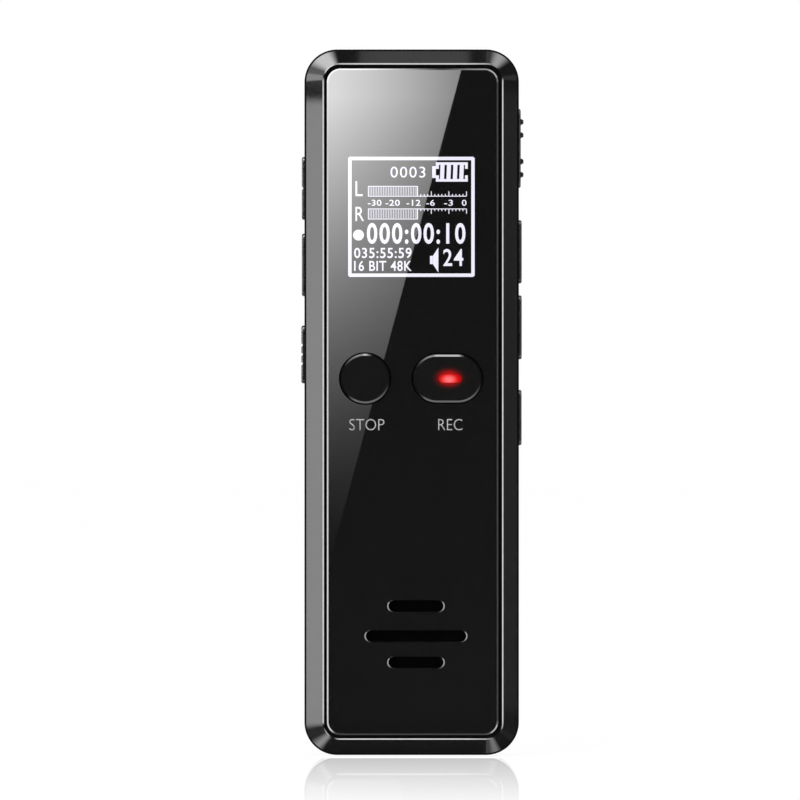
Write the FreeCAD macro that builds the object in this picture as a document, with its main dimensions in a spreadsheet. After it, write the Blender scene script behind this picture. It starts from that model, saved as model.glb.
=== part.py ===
import FreeCAD, Part

import math
import os
import re

import Sketcher

# Handheld voice recorder that stands on its bottom end: a bevelled front frame with a screwed-on
# rear cover, a glossy front panel with a display window, two front buttons, six side keys, a slide
# switch and everything that works behind them.
# Millimetres. +X right, +Y towards the back, +Z up. The origin is the middle of the bottom end.

# Driving dimensions: the name, the size, and what it is.
SIZES = [
    ("body_width", 30.0, "case across, without the keys"),
    ("body_height", 98.7, "case from its bottom end to its top end"),
    ("body_depth", 11.0, "panel face to the back"),
    ("corner_radius", 4.6, "case corners seen from the front"),
    ("side_wall", 1.0, "frame and cover walls"),
    ("edge_break", 0.25, "small break where the bevel meets the side wall"),
    ("bevel_width", 1.93, "sloping bevel seen from the front"),
    ("bevel_drop", 0.9, "fall of the bevel towards the side wall"),
    ("rim_land", 0.28, "polished land round the panel groove"),
    ("rim_setback", 0.1, "land behind the panel face"),
    ("groove_width", 0.46, "groove between the land and the panel"),
    ("seat_step", 0.55, "thicker wall in front of the chassis seat"),
    ("seam_break", 0.12, "edge breaks that show the case seam"),
    ("fit_gap", 0.05, "clearance round fixed pieces that fit in one another"),
    ("panel_thickness", 1.0, "front panel and display window"),
    ("panel_edge", 0.27, "chamfer round the panel"),
    ("panel_corner", 1.9, "panel corners"),
    ("chassis_thickness", 0.6, "chassis plate behind the panel"),
    ("glass_drop", 13.45, "display glass below the top end"),
    ("window_ledge", 0.45, "chassis ledge that carries the window"),
    ("button_drop", 46.05, "middle of the two front buttons below the top end"),
    ("button_proud", 0.35, "front buttons in front of the panel"),
    ("button_gap", 0.13, "clearance round a front button in the panel"),
    ("button_edge", 0.33, "bevelled edge of a front button"),
    ("button_travel", 0.3, "travel of a front button"),
    ("flange_lap", 0.65, "how far a button's flange laps its hole"),
    ("flange_thickness", 0.5, "front button flange"),
    ("stop_x", -6.5, "middle of the stop button"),
    ("stop_diameter", 7.04, "stop button across"),
    ("rec_x", 5.0, "middle of the record button"),
    ("rec_length", 9.76, "record button across"),
    ("rec_height", 6.78, "record button up and down"),
    ("light_x", 5.4, "middle of the record light"),
    ("light_length", 3.2, "record light across"),
    ("light_height", 1.15, "record light up and down"),
    ("light_collar", 0.5, "collar of the light guide behind the cap"),
    ("light_stop", 0.45, "light guide in front of the lamp"),
    ("rec_switch_x", 1.3, "middle of the record switch"),
    ("speaker_x", 0.6, "middle of the speaker and its slots"),
    ("speaker_z", 16.9, "middle of the speaker"),
    ("slot_height", 1.67, "speaker slot up and down"),
    ("slot_long", 14.04, "middle speaker slot across"),
    ("slot_short", 7.69, "outer speaker slots across"),
    ("slot_pitch", 3.92, "speaker slot spacing"),
    ("slot_flare", 0.28, "flared ends of a speaker slot"),
    ("flare_depth", 0.4, "flared ends of a speaker slot behind the face"),
    ("speaker_width", 17.0, "speaker across"),
    ("speaker_height", 11.6, "speaker up and down"),
    ("speaker_rim", 0.9, "width of the speaker's rim"),
    ("speaker_depth", 1.5, "speaker frame"),
    ("speaker_floor", 0.4, "floor of the speaker frame"),
    ("cone_thickness", 0.15, "speaker diaphragm"),
    ("cone_rise", 0.5, "raised middle of the diaphragm"),
    ("cone_margin", 1.3, "flat edge of the diaphragm"),
    ("magnet_width", 9.0, "speaker magnet across"),
    ("magnet_height", 6.0, "speaker magnet up and down"),
    ("magnet_depth", 1.5, "speaker magnet"),
    ("mesh_thickness", 0.1, "speaker dust cloth"),
    ("gasket_thickness", 0.25, "speaker and display gaskets"),
    ("gasket_width", 1.0, "display gasket round the window's outline"),
    ("fence_height", 1.8, "chassis fence round the speaker"),
    ("board_space", 4.4, "chassis plate to the main board"),
    ("board_thickness", 0.8, "main board"),
    ("board_side_gap", 0.25, "main board to the cover's tongue"),
    ("board_corner", 1.8, "cut corners of the main board"),
    ("tongue_thickness", 0.5, "cover tongue"),
    ("tongue_height", 0.7, "cover tongue in front of the seam"),
    ("tongue_root", 1.0, "cover tongue behind the seam"),
    ("seam_gap", 0.3, "board to the case seam"),
    ("cover_thickness", 1.0, "cover floor"),
    ("back_round", 1.8, "rounded edge of the back"),
    ("boss_width", 3.4, "cover screw bosses"),
    ("post_width", 3.0, "chassis screw posts"),
    ("screw_diameter", 1.4, "case screw shanks"),
    ("screw_length", 7.2, "case screws under the head"),
    ("screw_gap", 0.1, "clearance round the case screws"),
    ("head_diameter", 2.6, "case screw heads"),
    ("head_height", 0.6, "case screw heads"),
    ("head_recess", 0.9, "recess that takes a screw head"),
    ("recess_gap", 0.15, "clearance round a screw head"),
    ("cross_length", 1.5, "cross recess of a screw"),
    ("cross_width", 0.36, "cross recess of a screw"),
    ("cross_depth", 0.35, "cross recess of a screw"),
    ("screw_inset", 4.0, "case screws inside the case's sides"),
    ("screw_z", 6.0, "case screws above the bottom end"),
    ("peg_width", 2.0, "chassis pegs that carry the upper end of the board"),
    ("peg_x", 6.8, "chassis pegs from the middle"),
    ("peg_drop", 8.5, "chassis pegs below the top end"),
    ("catch_inset", 9.7, "uppermost snap catches below the top end"),
    ("catch_z", 24.0, "lowest snap catches"),
    ("catch_length", 5.0, "snap catches of the cover along the case"),
    ("catch_reach", 0.3, "snap catches beyond the tongue"),
    ("catch_height", 0.3, "snap catches front to back"),
    ("catch_lip", 0.2, "lip of the frame that holds a catch"),
    ("catch_gap", 0.1, "clearance round a snap catch"),
    ("key_lead", 0.5, "side keys and slide knob in front of their switches"),
    ("key_height", 2.6, "side keys front to back"),
    ("key_corner", 0.9, "corners of a side key"),
    ("key_edge", 0.25, "bevelled edge of a side key"),
    ("key_gap", 0.08, "clearance round a side key"),
    ("key_travel", 0.3, "travel of a side key"),
    ("key_lap", 0.6, "how far a side key's flange laps its window"),
    ("key_flange", 0.4, "flange of a side key"),
    ("key_post", 0.2, "post behind a side key"),
    ("key_post_length", 2.0, "post behind a side key, along the case"),
    ("groove_cut", 0.18, "depth and half width of the grooves in a side key"),
    ("groove_pitch", 1.3, "groove spacing of a side key"),
    ("left_upper_drop", 19.35, "upper left key below the top end"),
    ("left_upper_length", 8.84, "upper left key along the case"),
    ("left_upper_proud", 0.4, "upper left key outside the wall"),
    ("left_middle_drop", 30.1, "middle left key below the top end"),
    ("left_middle_length", 8.8, "middle left key along the case"),
    ("left_middle_proud", 0.4, "middle left key outside the wall"),
    ("left_lower_drop", 42.65, "lower left key below the top end"),
    ("left_lower_length", 8.13, "lower left key along the case"),
    ("left_lower_proud", 0.47, "lower left key outside the wall"),
    ("right_upper_drop", 28.25, "upper right key below the top end"),
    ("right_upper_length", 8.9, "upper right key along the case"),
    ("right_upper_proud", 0.44, "upper right key outside the wall"),
    ("right_middle_drop", 38.85, "middle right key below the top end"),
    ("right_middle_length", 9.0, "middle right key along the case"),
    ("right_middle_proud", 0.44, "middle right key outside the wall"),
    ("right_lower_drop", 51.5, "lower right key below the top end"),
    ("right_lower_length", 7.8, "lower right key along the case"),
    ("right_lower_proud", 0.42, "lower right key outside the wall"),
    ("knob_drop", 13.75, "middle of the slide knob below the top end, at rest"),
    ("knob_length", 11.1, "slide knob along the case"),
    ("knob_proud", 0.3, "slide knob outside the wall"),
    ("knob_travel", 2.0, "travel of the slide knob"),
    ("knob_lap", 1.5, "slide knob flange past its ends"),
    ("ridge_height", 0.38, "finger ridges of the slide knob"),
    ("ridge_length", 0.8, "finger ridges of the slide knob"),
    ("ridge_pitch", 1.85, "finger ridge spacing"),
    ("tact_width", 4.5, "front tact switches across"),
    ("tact_height", 1.2, "front tact switches"),
    ("tact_rise", 0.4, "front plungers above their switches"),
    ("front_plunger_diameter", 2.2, "front plungers"),
    ("side_tact_length", 4.6, "side switches along the case"),
    ("side_tact_width", 1.5, "side switches across"),
    ("side_tact_height", 2.2, "side switches off the board"),
    ("side_tact_gap", 0.5, "side switch to its key's post"),
    ("plunger_depth", 0.5, "plunger inside a switch at rest"),
    ("plunger_gap", 0.05, "clearance round a plunger"),
    ("plunger_room", 0.05, "plunger to the bottom of its switch at full travel"),
    ("side_plunger_length", 1.8, "side plungers along the case"),
    ("side_plunger_height", 1.0, "side plungers front to back"),
    ("slide_base_length", 8.0, "slide switch along the case"),
    ("lever_length", 1.6, "slide switch lever along the case"),
    ("lever_height", 0.8, "slide switch lever front to back"),
    ("prong_length", 0.5, "prongs that hold the lever"),
    ("prong_reach", 0.5, "prongs that hold the lever"),
    ("glass_height", 20.0, "display glass up and down"),
    ("glass_thickness", 1.2, "display glass"),
    ("holder_wall", 0.65, "display holder walls"),
    ("holder_gap", 0.15, "display holder to the side switches"),
    ("holder_floor", 0.5, "display holder floor"),
    ("flex_width", 8.0, "display flex"),
    ("flex_thickness", 0.15, "display flex"),
    ("flex_start", 0.02, "display glass to its flex"),
    ("flex_depth", 0.5, "flex in front of the back of the display glass"),
    ("flex_bend", 0.5, "cut corners of the flex's bend"),
    ("flex_room", 0.6, "display holder to the flex's bend"),
    ("flex_gap", 0.3, "clearance beside the flex in the holder"),
    ("connector_drop", 1.8, "display holder to the connector"),
    ("connector_margin", 0.5, "display connector beside the flex"),
    ("connector_length", 2.2, "display connector along the case"),
    ("connector_height", 0.9, "display connector off the board"),
    ("chip_height", 0.9, "chips off the board"),
    ("chip_drop", 1.5, "processor and memory below the middle of the display"),
    ("chip_margin", 0.75, "processor and memory inside the display glass's sides"),
    ("processor_size", 9.0, "processor across and along the case"),
    ("memory_width", 7.0, "memory across"),
    ("memory_length", 10.0, "memory along the case"),
    ("audio_inset", 8.25, "middle of the audio chip inside the case's side"),
    ("audio_drop", 18.9, "audio chip below the front buttons"),
    ("audio_size", 4.5, "audio chip across and along the case"),
    ("lamp_length", 1.6, "record lamp across"),
    ("lamp_width", 0.8, "record lamp up and down"),
    ("lamp_height", 0.6, "record lamp off the board"),
    ("jack_gap", 0.15, "headphone jack to the chassis plate"),
    ("jack_bore", 3.6, "headphone jack bore"),
    ("jack_width", 6.0, "headphone jack body across"),
    ("jack_depth", 4.5, "headphone jack body front to back"),
    ("jack_length", 11.0, "headphone jack body along the case"),
    ("jack_floor", 0.8, "headphone jack behind its bore"),
    ("nose_diameter", 4.6, "headphone jack nose"),
    ("nose_setback", 0.2, "headphone jack nose inside the top end"),
    ("notch_gap", 0.25, "board notch round the jack"),
    ("mic_inset", 6.8, "microphones inside the case's sides"),
    ("boot_width", 5.4, "microphone boots across"),
    ("boot_depth", 4.2, "microphone boots front to back"),
    ("boot_length", 2.4, "microphone boots along the case"),
    ("mic_width", 3.8, "microphones across"),
    ("mic_depth", 2.9, "microphones front to back"),
    ("mic_length", 1.1, "microphones along the case"),
    ("mic_setback", 0.5, "microphones behind the boot's front"),
    ("sound_slot_length", 3.0, "microphone sound slots"),
    ("sound_slot_width", 0.8, "microphone sound slots"),
    ("usb_width", 7.5, "charging socket across"),
    ("usb_height", 2.5, "charging socket front to back"),
    ("usb_length", 5.1, "charging socket along the case"),
    ("usb_setback", 0.4, "charging socket inside the bottom end"),
    ("usb_skin", 0.3, "charging socket shell"),
    ("usb_slant", 1.0, "slanted corners of the charging socket"),
    ("usb_gap", 0.15, "clearance round the charging socket"),
    ("usb_tongue_width", 5.2, "contact tongue in the charging socket"),
    ("usb_tongue_height", 0.6, "contact tongue in the charging socket"),
    ("usb_tongue_setback", 0.6, "contact tongue inside the socket's mouth"),
    ("cell_gap", 0.25, "battery to the main board"),
    ("cell_z", 22.0, "lower end of the battery"),
    ("cell_drop", 18.7, "upper end of the battery below the top end"),
    ("cell_edge", 0.6, "bevelled long edges of the battery"),
    ("circuit_inset", 2.0, "battery circuit inside the battery's sides"),
    ("circuit_length", 2.4, "battery circuit along the case"),
    ("tape_thickness", 0.15, "battery tape"),
    ("tape_inset", 2.0, "battery tape inside the battery's outline"),
    ("rib_gap", 0.15, "battery to its ribs"),
    ("rib_room", 0.6, "battery ribs to the cover's tongue"),
    ("rib_inset", 3.5, "chassis ribs inside the case's sides"),
    ("rib_thickness", 0.7, "ribs"),
    ("rib_height", 1.5, "ribs"),
]

# Levels and places worked out from the driving dimensions.
WORKED_OUT = {
    "half": "body_width / 2",
    "window_z": "body_height - glass_drop - glass_height / 2",
    "button_z": "body_height - button_drop",
    "knob_z": "body_height - knob_drop",
    "screw_x": "half - screw_inset",
    "mic_x": "half - mic_inset",
    "face": "-body_depth / 2",
    "back": "body_depth / 2",
    "rim": "face + rim_setback",
    "panel_back": "face + panel_thickness",
    "chassis_back": "panel_back + chassis_thickness",
    "board_front": "chassis_back + board_space",
    "board_back": "board_front + board_thickness",
    "seam": "board_back + seam_gap",
    "cover_floor": "back - cover_thickness",
    "land_outer": "edge_break + bevel_width",
    "land_inner": "land_outer + rim_land",
    "panel_inset": "land_inner + groove_width",
    "seat_inset": "side_wall + seat_step",
    "tongue_outer": "side_wall + fit_gap",
    "tongue_inner": "tongue_outer + tongue_thickness",
    "board_inset": "tongue_inner + board_side_gap",
    "ceiling": "body_height - side_wall",
    "cap_face": "face - button_proud",
    "flange_front": "chassis_back + fit_gap",
    "flange_back": "flange_front + flange_thickness",
    "plunger_top": "board_front - tact_height - tact_rise",
    "lamp_top": "board_front - lamp_height",
    "side_switch_y": "board_front - side_tact_height / 2",
    "key_y": "side_switch_y - key_lead",
    "key_low": "key_y - key_height / 2",
    "key_high": "key_y + key_height / 2",
    "key_seat": "half - side_wall - fit_gap",
    "key_inner": "key_seat - key_flange",
    "post_end": "key_inner - key_post",
    "tact_face": "post_end - side_tact_gap",
    "tact_back": "tact_face - side_tact_width",
    "speaker_front": "chassis_back + mesh_thickness + gasket_thickness",
    "speaker_back": "speaker_front + speaker_depth",
    "glass_front": "chassis_back + gasket_thickness",
    "glass_back": "glass_front + glass_thickness",
    "glass_low": "window_z - glass_height / 2",
    "glass_width": "2 * (tact_back - holder_gap - holder_wall - fit_gap)",
    "processor_x": "-glass_width / 2 + chip_margin + processor_size / 2",
    "memory_x": "glass_width / 2 - chip_margin - memory_width / 2",
    "audio_x": "-half + audio_inset",
    "window_width": "glass_width - 2 * gasket_width",
    "window_height": "glass_height - 2 * gasket_width",
    "holder_back": "glass_back + holder_floor",
    "holder_low": "glass_low - fit_gap - holder_wall",
    "end_y": "chassis_back + jack_gap + jack_depth / 2",
    "jack_low": "ceiling - jack_length",
    "boot_top": "ceiling - fit_gap",
    "boot_low": "boot_top - boot_length",
    "mic_top": "boot_top - mic_setback",
    "cell_back": "cover_floor - tape_thickness",
    "cell_front": "board_back + cell_gap",
    "cell_thickness": "cell_back - cell_front",
    "cell_width": "2 * (half - tongue_inner - rib_room - rib_thickness - rib_gap)",
    "cell_top": "body_height - cell_drop",
    "usb_back": "board_front",
    "usb_front": "board_front - usb_height",
    "head_seat": "back - head_recess",
    "peg_z": "body_height - peg_drop",
    "catch_back": "seam - catch_lip - catch_gap",
    "catch_front": "catch_back - catch_height",
    "catch_top": "body_height - catch_inset",
    "ribs_low": "speaker_z + speaker_height / 2 + fit_gap + rib_thickness",
    "ribs_high": "button_z - stop_diameter / 2 - button_gap - flange_lap",
    "rib_reach": "half - rib_inset",
}

# Side keys: the name, which starts with its side, and the places of its grooves from its middle.
SIDE_KEYS = {
    "left_upper": (0,),
    "left_middle": (),
    "left_lower": (-1, 0, 1),
    "right_upper": (),
    "right_middle": (),
    "right_lower": (),
}
# Chips: the name, its middle across and along the case, and its size across and along the case.
CHIPS = [
    ("processor_chip", "processor_x", "window_z - chip_drop", "processor_size", "processor_size"),
    ("memory_chip", "memory_x", "window_z - chip_drop", "memory_width", "memory_length"),
    ("audio_chip", "audio_x", "button_z - audio_drop", "audio_size", "audio_size"),
]
CATCHES = ("catch_z", "(catch_z + catch_top) / 2", "catch_top")
SCREWS = [("-screw_x", "screw_z"), ("screw_x", "screw_z")]
SLOTS = [("slot_short", 1), ("slot_long", 0), ("slot_short", -1)]
KNOB_RIDGES = (-2, -1, 1, 2)
CHASSIS_RIBS = 3
BACK_STEPS = 4
TOUCHING = 1e-4

doc = FreeCAD.newDocument("voice_recorder")
sheet = doc.addObject("Spreadsheet::Sheet", "dims")
for row, (alias, size, meaning) in enumerate(SIZES, start=1):
    sheet.set(f"A{row}", meaning)
    sheet.set(f"B{row}", str(size))
    sheet.setAlias(f"B{row}", alias)
doc.recompute()

ALIASES = {alias for alias, _, _ in SIZES}
NODES = []


def formula(text):
    """Writes a formula of named sizes and levels as an expression on the sheet."""

    def spell(match):
        word = match.group(0)
        if word in WORKED_OUT:
            return f"({formula(WORKED_OUT[word])})"
        return f"dims.{word}" if word in ALIASES else word

    return re.sub(r"[a-z][a-z_]*", spell, str(text))


def value(text):
    """The number that a formula gives now."""
    return float(sheet.evalExpression(formula(text)))


def bind(thing, **sizes):
    """Binds properties of an object to formulas."""
    for name, text in sizes.items():
        thing.setExpression(name, formula(text))
    return thing


def place(thing, x, y, z):
    """Binds where an object's own origin lies."""
    for axis, text in zip("xyz", (x, y, z)):
        thing.setExpression(f"Placement.Base.{axis}", formula(text))
    return thing


def node(thing, label):
    """Names a finished sub-part and lists it for export."""
    thing.Label = label
    NODES.append(thing)
    return thing


# Sketches

NORMAL = {"XY": 1, "XZ": -1, "YZ": 1}


def sketch(body, plane, level):
    """A sketch of a body on one of its origin planes, moved to a level along the plane's axis."""
    drawing = body.newObject("Sketcher::SketchObject", "sketch")
    origin_plane = next(f for f in body.Origin.OriginFeatures if f.Role == f"{plane}_Plane")
    drawing.AttachmentSupport = (origin_plane, [""])
    drawing.MapMode = "FlatFace"
    sign = "-1" if NORMAL[plane] < 0 else "1"
    drawing.setExpression("AttachmentOffset.Base.z", formula(f"{sign} * ({level})"))
    return drawing


def pin(drawing, kind, text, *where):
    """Adds one driving constraint whose size is a formula."""
    number = drawing.addConstraint(Sketcher.Constraint(kind, *where, value(text)))
    name = f"size_{number}"
    drawing.renameConstraint(number, name)
    drawing.setExpression(f"Constraints.{name}", formula(text))


def pin_point(drawing, geometry, position, x, y):
    """Fixes a point of the drawing from its origin."""
    pin(drawing, "DistanceX", x, -1, 1, geometry, position)
    pin(drawing, "DistanceY", y, -1, 1, geometry, position)


def polygon(drawing, corners):
    """Closed outline of straight lines through the corners."""
    points = [FreeCAD.Vector(value(x), value(y), 0) for x, y in corners]
    ends = points[1:] + points[:1]
    lines = [drawing.addGeometry(Part.LineSegment(a, b)) for a, b in zip(points, ends)]
    for here, after in zip(lines, lines[1:] + lines[:1]):
        drawing.addConstraint(Sketcher.Constraint("Coincident", here, 2, after, 1))
    for line, (x, y) in zip(lines, corners):
        pin_point(drawing, line, 1, x, y)


def rectangle(drawing, left, right, low, high):
    """Closed rectangle."""
    polygon(drawing, [(left, low), (right, low), (right, high), (left, high)])


def circle(drawing, x, y, diameter):
    """Full circle."""
    centre = FreeCAD.Vector(value(x), value(y), 0)
    ring = drawing.addGeometry(Part.Circle(centre, FreeCAD.Vector(0, 0, 1), value(diameter) / 2))
    pin_point(drawing, ring, 3, x, y)
    pin(drawing, "Diameter", diameter, ring)


def rounded(drawing, left, right, low, high, radius):
    """Rectangle with four equal round corners, from its lower left corner anticlockwise."""
    x_centres = (f"({left}) + ({radius})", f"({right}) - ({radius})")
    y_centres = (f"({low}) + ({radius})", f"({high}) - ({radius})")
    centres = [(0, 0), (1, 0), (1, 1), (0, 1)]
    size = value(radius)
    arcs = []
    for quarter, (i, j) in enumerate(centres):
        centre = FreeCAD.Vector(value(x_centres[i]), value(y_centres[j]), 0)
        start = math.pi + quarter * math.pi / 2
        ring = Part.Circle(centre, FreeCAD.Vector(0, 0, 1), size)
        arcs.append(drawing.addGeometry(Part.ArcOfCircle(ring, start, start + math.pi / 2)))
    for here, after in zip(arcs, arcs[1:] + arcs[:1]):
        line = drawing.addGeometry(
            Part.LineSegment(drawing.getPoint(here, 2), drawing.getPoint(after, 1))
        )
        drawing.addConstraint(Sketcher.Constraint("Tangent", here, 2, line, 1))
        drawing.addConstraint(Sketcher.Constraint("Tangent", line, 2, after, 1))
    for arc, (i, j) in zip(arcs, centres):
        pin_point(drawing, arc, 3, x_centres[i], y_centres[j])
        pin(drawing, "Radius", radius, arc)


def stadium(drawing, x, y, length, height):
    """Obround that lies along the drawing's first axis."""
    radius = value(height) / 2
    reach = f"(({length}) - ({height})) / 2"
    arcs = []
    for sign, start in ((1, -math.pi / 2), (-1, math.pi / 2)):
        centre = FreeCAD.Vector(value(f"({x}) + {sign} * ({reach})"), value(y), 0)
        ring = Part.Circle(centre, FreeCAD.Vector(0, 0, 1), radius)
        arcs.append(drawing.addGeometry(Part.ArcOfCircle(ring, start, start + math.pi)))
    for here, after in zip(arcs, arcs[::-1]):
        line = drawing.addGeometry(
            Part.LineSegment(drawing.getPoint(here, 2), drawing.getPoint(after, 1))
        )
        drawing.addConstraint(Sketcher.Constraint("Tangent", here, 2, line, 1))
        drawing.addConstraint(Sketcher.Constraint("Tangent", line, 2, after, 1))
    for arc, sign in zip(arcs, (1, -1)):
        pin_point(drawing, arc, 3, f"({x}) + {sign} * ({reach})", y)
        pin(drawing, "Radius", f"({height}) / 2", arc)


def cut_corners(drawing, left, right, low, high, corner):
    """Rectangle with four equal cut corners."""
    polygon(
        drawing,
        [
            (left, f"({low}) + ({corner})"),
            (f"({left}) + ({corner})", low),
            (f"({right}) - ({corner})", low),
            (right, f"({low}) + ({corner})"),
            (right, f"({high}) - ({corner})"),
            (f"({right}) - ({corner})", high),
            (f"({left}) + ({corner})", high),
            (left, f"({high}) - ({corner})"),
        ],
    )


def inset_outline(drawing, inset, radius):
    """The case's outline seen from the front, moved inwards."""
    rounded(
        drawing,
        f"-half + ({inset})",
        f"half - ({inset})",
        inset,
        f"body_height - ({inset})",
        radius,
    )


# Features

def new_body(label):
    """An empty body that becomes a sub-part."""
    return node(doc.addObject("PartDesign::Body", label), label)


def extrude(kind, body, plane, low, high, draw):
    """Pads or pockets a drawing between two levels along its plane's axis."""
    drawing = sketch(body, plane, low)
    draw(drawing)
    feature = body.newObject(f"PartDesign::{kind}", kind.lower())
    feature.Profile = drawing
    feature.Reversed = (NORMAL[plane] < 0) == (kind == "Pad")
    bind(feature, Length=f"({high}) - ({low})")
    drawing.Visibility = False
    return feature


def pad(body, plane, low, high, draw):
    """Adds a slab between two levels."""
    return extrude("Pad", body, plane, low, high, draw)


def pocket(body, plane, low, high, draw):
    """Cuts a slab between two levels."""
    return extrude("Pocket", body, plane, low, high, draw)


def chamfer(body, axis, level, size):
    """Chamfers the edges of a body that lie at a level along an axis."""
    doc.recompute()
    base = body.Tip
    edges = []
    for number, edge in enumerate(base.Shape.Edges, start=1):
        middle = edge.valueAt((edge.FirstParameter + edge.LastParameter) / 2)
        points = [vertex.Point for vertex in edge.Vertexes] + [middle]
        if all(abs(point["xyz".index(axis)] - value(level)) < TOUCHING for point in points):
            edges.append(f"Edge{number}")
    feature = body.newObject("PartDesign::Chamfer", "chamfer")
    feature.Base = (base, edges)
    bind(feature, Size=size)


# Plain pieces

def block(label, x, y, z):
    """A box from pairs of low and high formulas."""
    box = doc.addObject("Part::Box", label)
    box.Label = label
    bind(
        box,
        Length=f"({x[1]}) - ({x[0]})",
        Width=f"({y[1]}) - ({y[0]})",
        Height=f"({z[1]}) - ({z[0]})",
    )
    return place(box, x[0], y[0], z[0])


def rod(label, x, y, z, diameter, length):
    """A cylinder from its starting point along Y."""
    cylinder = doc.addObject("Part::Cylinder", label)
    cylinder.Label = label
    bind(cylinder, Radius=f"({diameter}) / 2", Height=length)
    cylinder.Placement.Rotation = FreeCAD.Rotation(FreeCAD.Vector(1, 0, 0), -90)
    return place(cylinder, x, y, z)


def cut(label, base, tool):
    """One object less another."""
    result = doc.addObject("Part::Cut", label)
    result.Label = label
    result.Base, result.Tool = base, tool
    return result


def join(label, pieces):
    """Several objects as one solid."""
    result = doc.addObject("Part::MultiFuse", label)
    result.Label = label
    result.Shapes = pieces
    return result


def about(middle, size):
    """Low and high formulas of a span about its middle."""
    return f"({middle}) - ({size}) / 2", f"({middle}) + ({size}) / 2"


def span(side, inner, outer):
    """Low and high formulas of a span across the case on its left (-1) or right (1) side."""
    if side > 0:
        return inner, outer
    return f"-({outer})", f"-({inner})"


def screw_circles(diameter):
    """Draws a circle at each case screw."""

    def draw(drawing):
        for x, z in SCREWS:
            circle(drawing, x, z, diameter)

    return draw


def screw_squares(width):
    """Draws a square at each case screw."""

    def draw(drawing):
        for x, z in SCREWS:
            rectangle(drawing, *about(x, width), *about(z, width))

    return draw


# Case

def make_front_frame():
    """Bevelled frame with the side walls, the key windows and the openings in both ends."""
    body = new_body("front_frame")
    side = "rim + bevel_drop + edge_break"
    ruled_loft(body, [("rim", "land_outer"), ("rim + bevel_drop", "edge_break"), (side, "0")])
    pad(body, "XZ", side, "seam", lambda d: inset_outline(d, "0", "corner_radius"))
    chamfer(body, "y", "seam", "seam_break")
    for low, high, inset in (
        ("rim", "panel_back", "land_inner"),
        ("panel_back", "chassis_back", "seat_inset"),
        ("chassis_back", "seam", "side_wall"),
    ):
        radius = f"corner_radius - ({inset})"
        pocket(body, "XZ", low, high, lambda d, i=inset, r=radius: inset_outline(d, i, r))
    for side in (-1, 1):
        low, high = span(side, "half - side_wall", "half")
        pocket(body, "YZ", low, high, lambda d, s=side: side_windows(d, s))
        reach = "half - tongue_outer + catch_reach + catch_gap"
        low, high = span(side, "half - side_wall", reach)
        pocket(body, "YZ", low, high, lambda d: catches(d, "catch_gap"))
    pocket(body, "XY", "ceiling", "body_height", top_openings)
    pocket(body, "XY", "0", "side_wall", lambda d: usb_outline(d, "usb_gap"))


def ruled_loft(body, steps):
    """Adds straight slopes between case outlines, each a level and an inset."""
    sections = []
    for level, inset in steps:
        drawing = sketch(body, "XZ", level)
        inset_outline(drawing, inset, f"corner_radius - ({inset})")
        sections.append(drawing)
    slopes = body.newObject("PartDesign::AdditiveLoft", "slopes")
    slopes.Profile = sections[0]
    slopes.Sections = sections[1:]
    slopes.Ruled = True


def catches(drawing, extra):
    """Snap catches of one side, widened by an extra all round."""
    for middle in CATCHES:
        low, high = about(middle, f"catch_length + 2 * ({extra})")
        rectangle(drawing, f"catch_front - ({extra})", f"catch_back + ({extra})", low, high)


def side_windows(drawing, side):
    """Windows of one side's keys and, on the right, of the slide knob."""
    for name in SIDE_KEYS:
        if key_side(name) == side:
            key_outline(drawing, name, "key_gap")
    if side > 0:
        rounded(
            drawing,
            "key_low - key_gap",
            "key_high + key_gap",
            "knob_z - knob_length / 2 - key_gap",
            "knob_z + knob_length / 2 + knob_travel + key_gap",
            "key_corner + key_gap",
        )


def key_side(name):
    """-1 for a key of the left side and 1 for a key of the right side."""
    return -1 if name.startswith("left") else 1


def key_outline(drawing, name, extra):
    """Outline of a side key, widened by an extra all round."""
    rounded(
        drawing,
        f"key_low - ({extra})",
        f"key_high + ({extra})",
        *about(f"body_height - {name}_drop", f"{name}_length + 2 * ({extra})"),
        f"key_corner + ({extra})",
    )


def top_openings(drawing):
    """Jack hole and the microphones' sound slots in the top end."""
    circle(drawing, "0", "end_y", "nose_diameter + 2 * fit_gap")
    for side in (-1, 1):
        stadium(drawing, f"{side} * mic_x", "end_y", "sound_slot_length", "sound_slot_width")


def make_chassis():
    """Plate that carries the panel and the display, with posts, pegs, a speaker fence and ribs."""
    body = new_body("front_chassis")
    pad(
        body,
        "XZ",
        "panel_back",
        "chassis_back",
        lambda d: inset_outline(d, "seat_inset + fit_gap", "corner_radius - seat_inset - fit_gap"),
    )
    pad(body, "XZ", "chassis_back", "board_front", screw_squares("post_width"))
    pad(body, "XZ", "chassis_back", "board_front", board_pegs)
    pad(body, "XZ", "chassis_back", "chassis_back + fence_height", speaker_fence)
    pad(body, "XZ", "chassis_back", "chassis_back + rib_height", chassis_ribs)
    pocket(body, "XZ", "panel_back", "chassis_back", chassis_openings)
    pocket(
        body,
        "XZ",
        "head_seat - screw_length - screw_gap",
        "board_front",
        screw_circles("screw_diameter + 2 * screw_gap"),
    )


def board_pegs(drawing):
    """Two square pegs that carry the upper end of the board."""
    for side in (-1, 1):
        rectangle(drawing, *about(f"{side} * peg_x", "peg_width"), *about("peg_z", "peg_width"))


def speaker_fence(drawing):
    """Frame that the speaker sits in."""
    for extra in ("fit_gap + rib_thickness", "fit_gap"):
        speaker_outline(drawing, extra)


def speaker_outline(drawing, extra):
    """The speaker's outline, widened by an extra all round."""
    width = about("speaker_x", f"speaker_width + 2 * ({extra})")
    height = about("speaker_z", f"speaker_height + 2 * ({extra})")
    rectangle(drawing, *width, *height)


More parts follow.
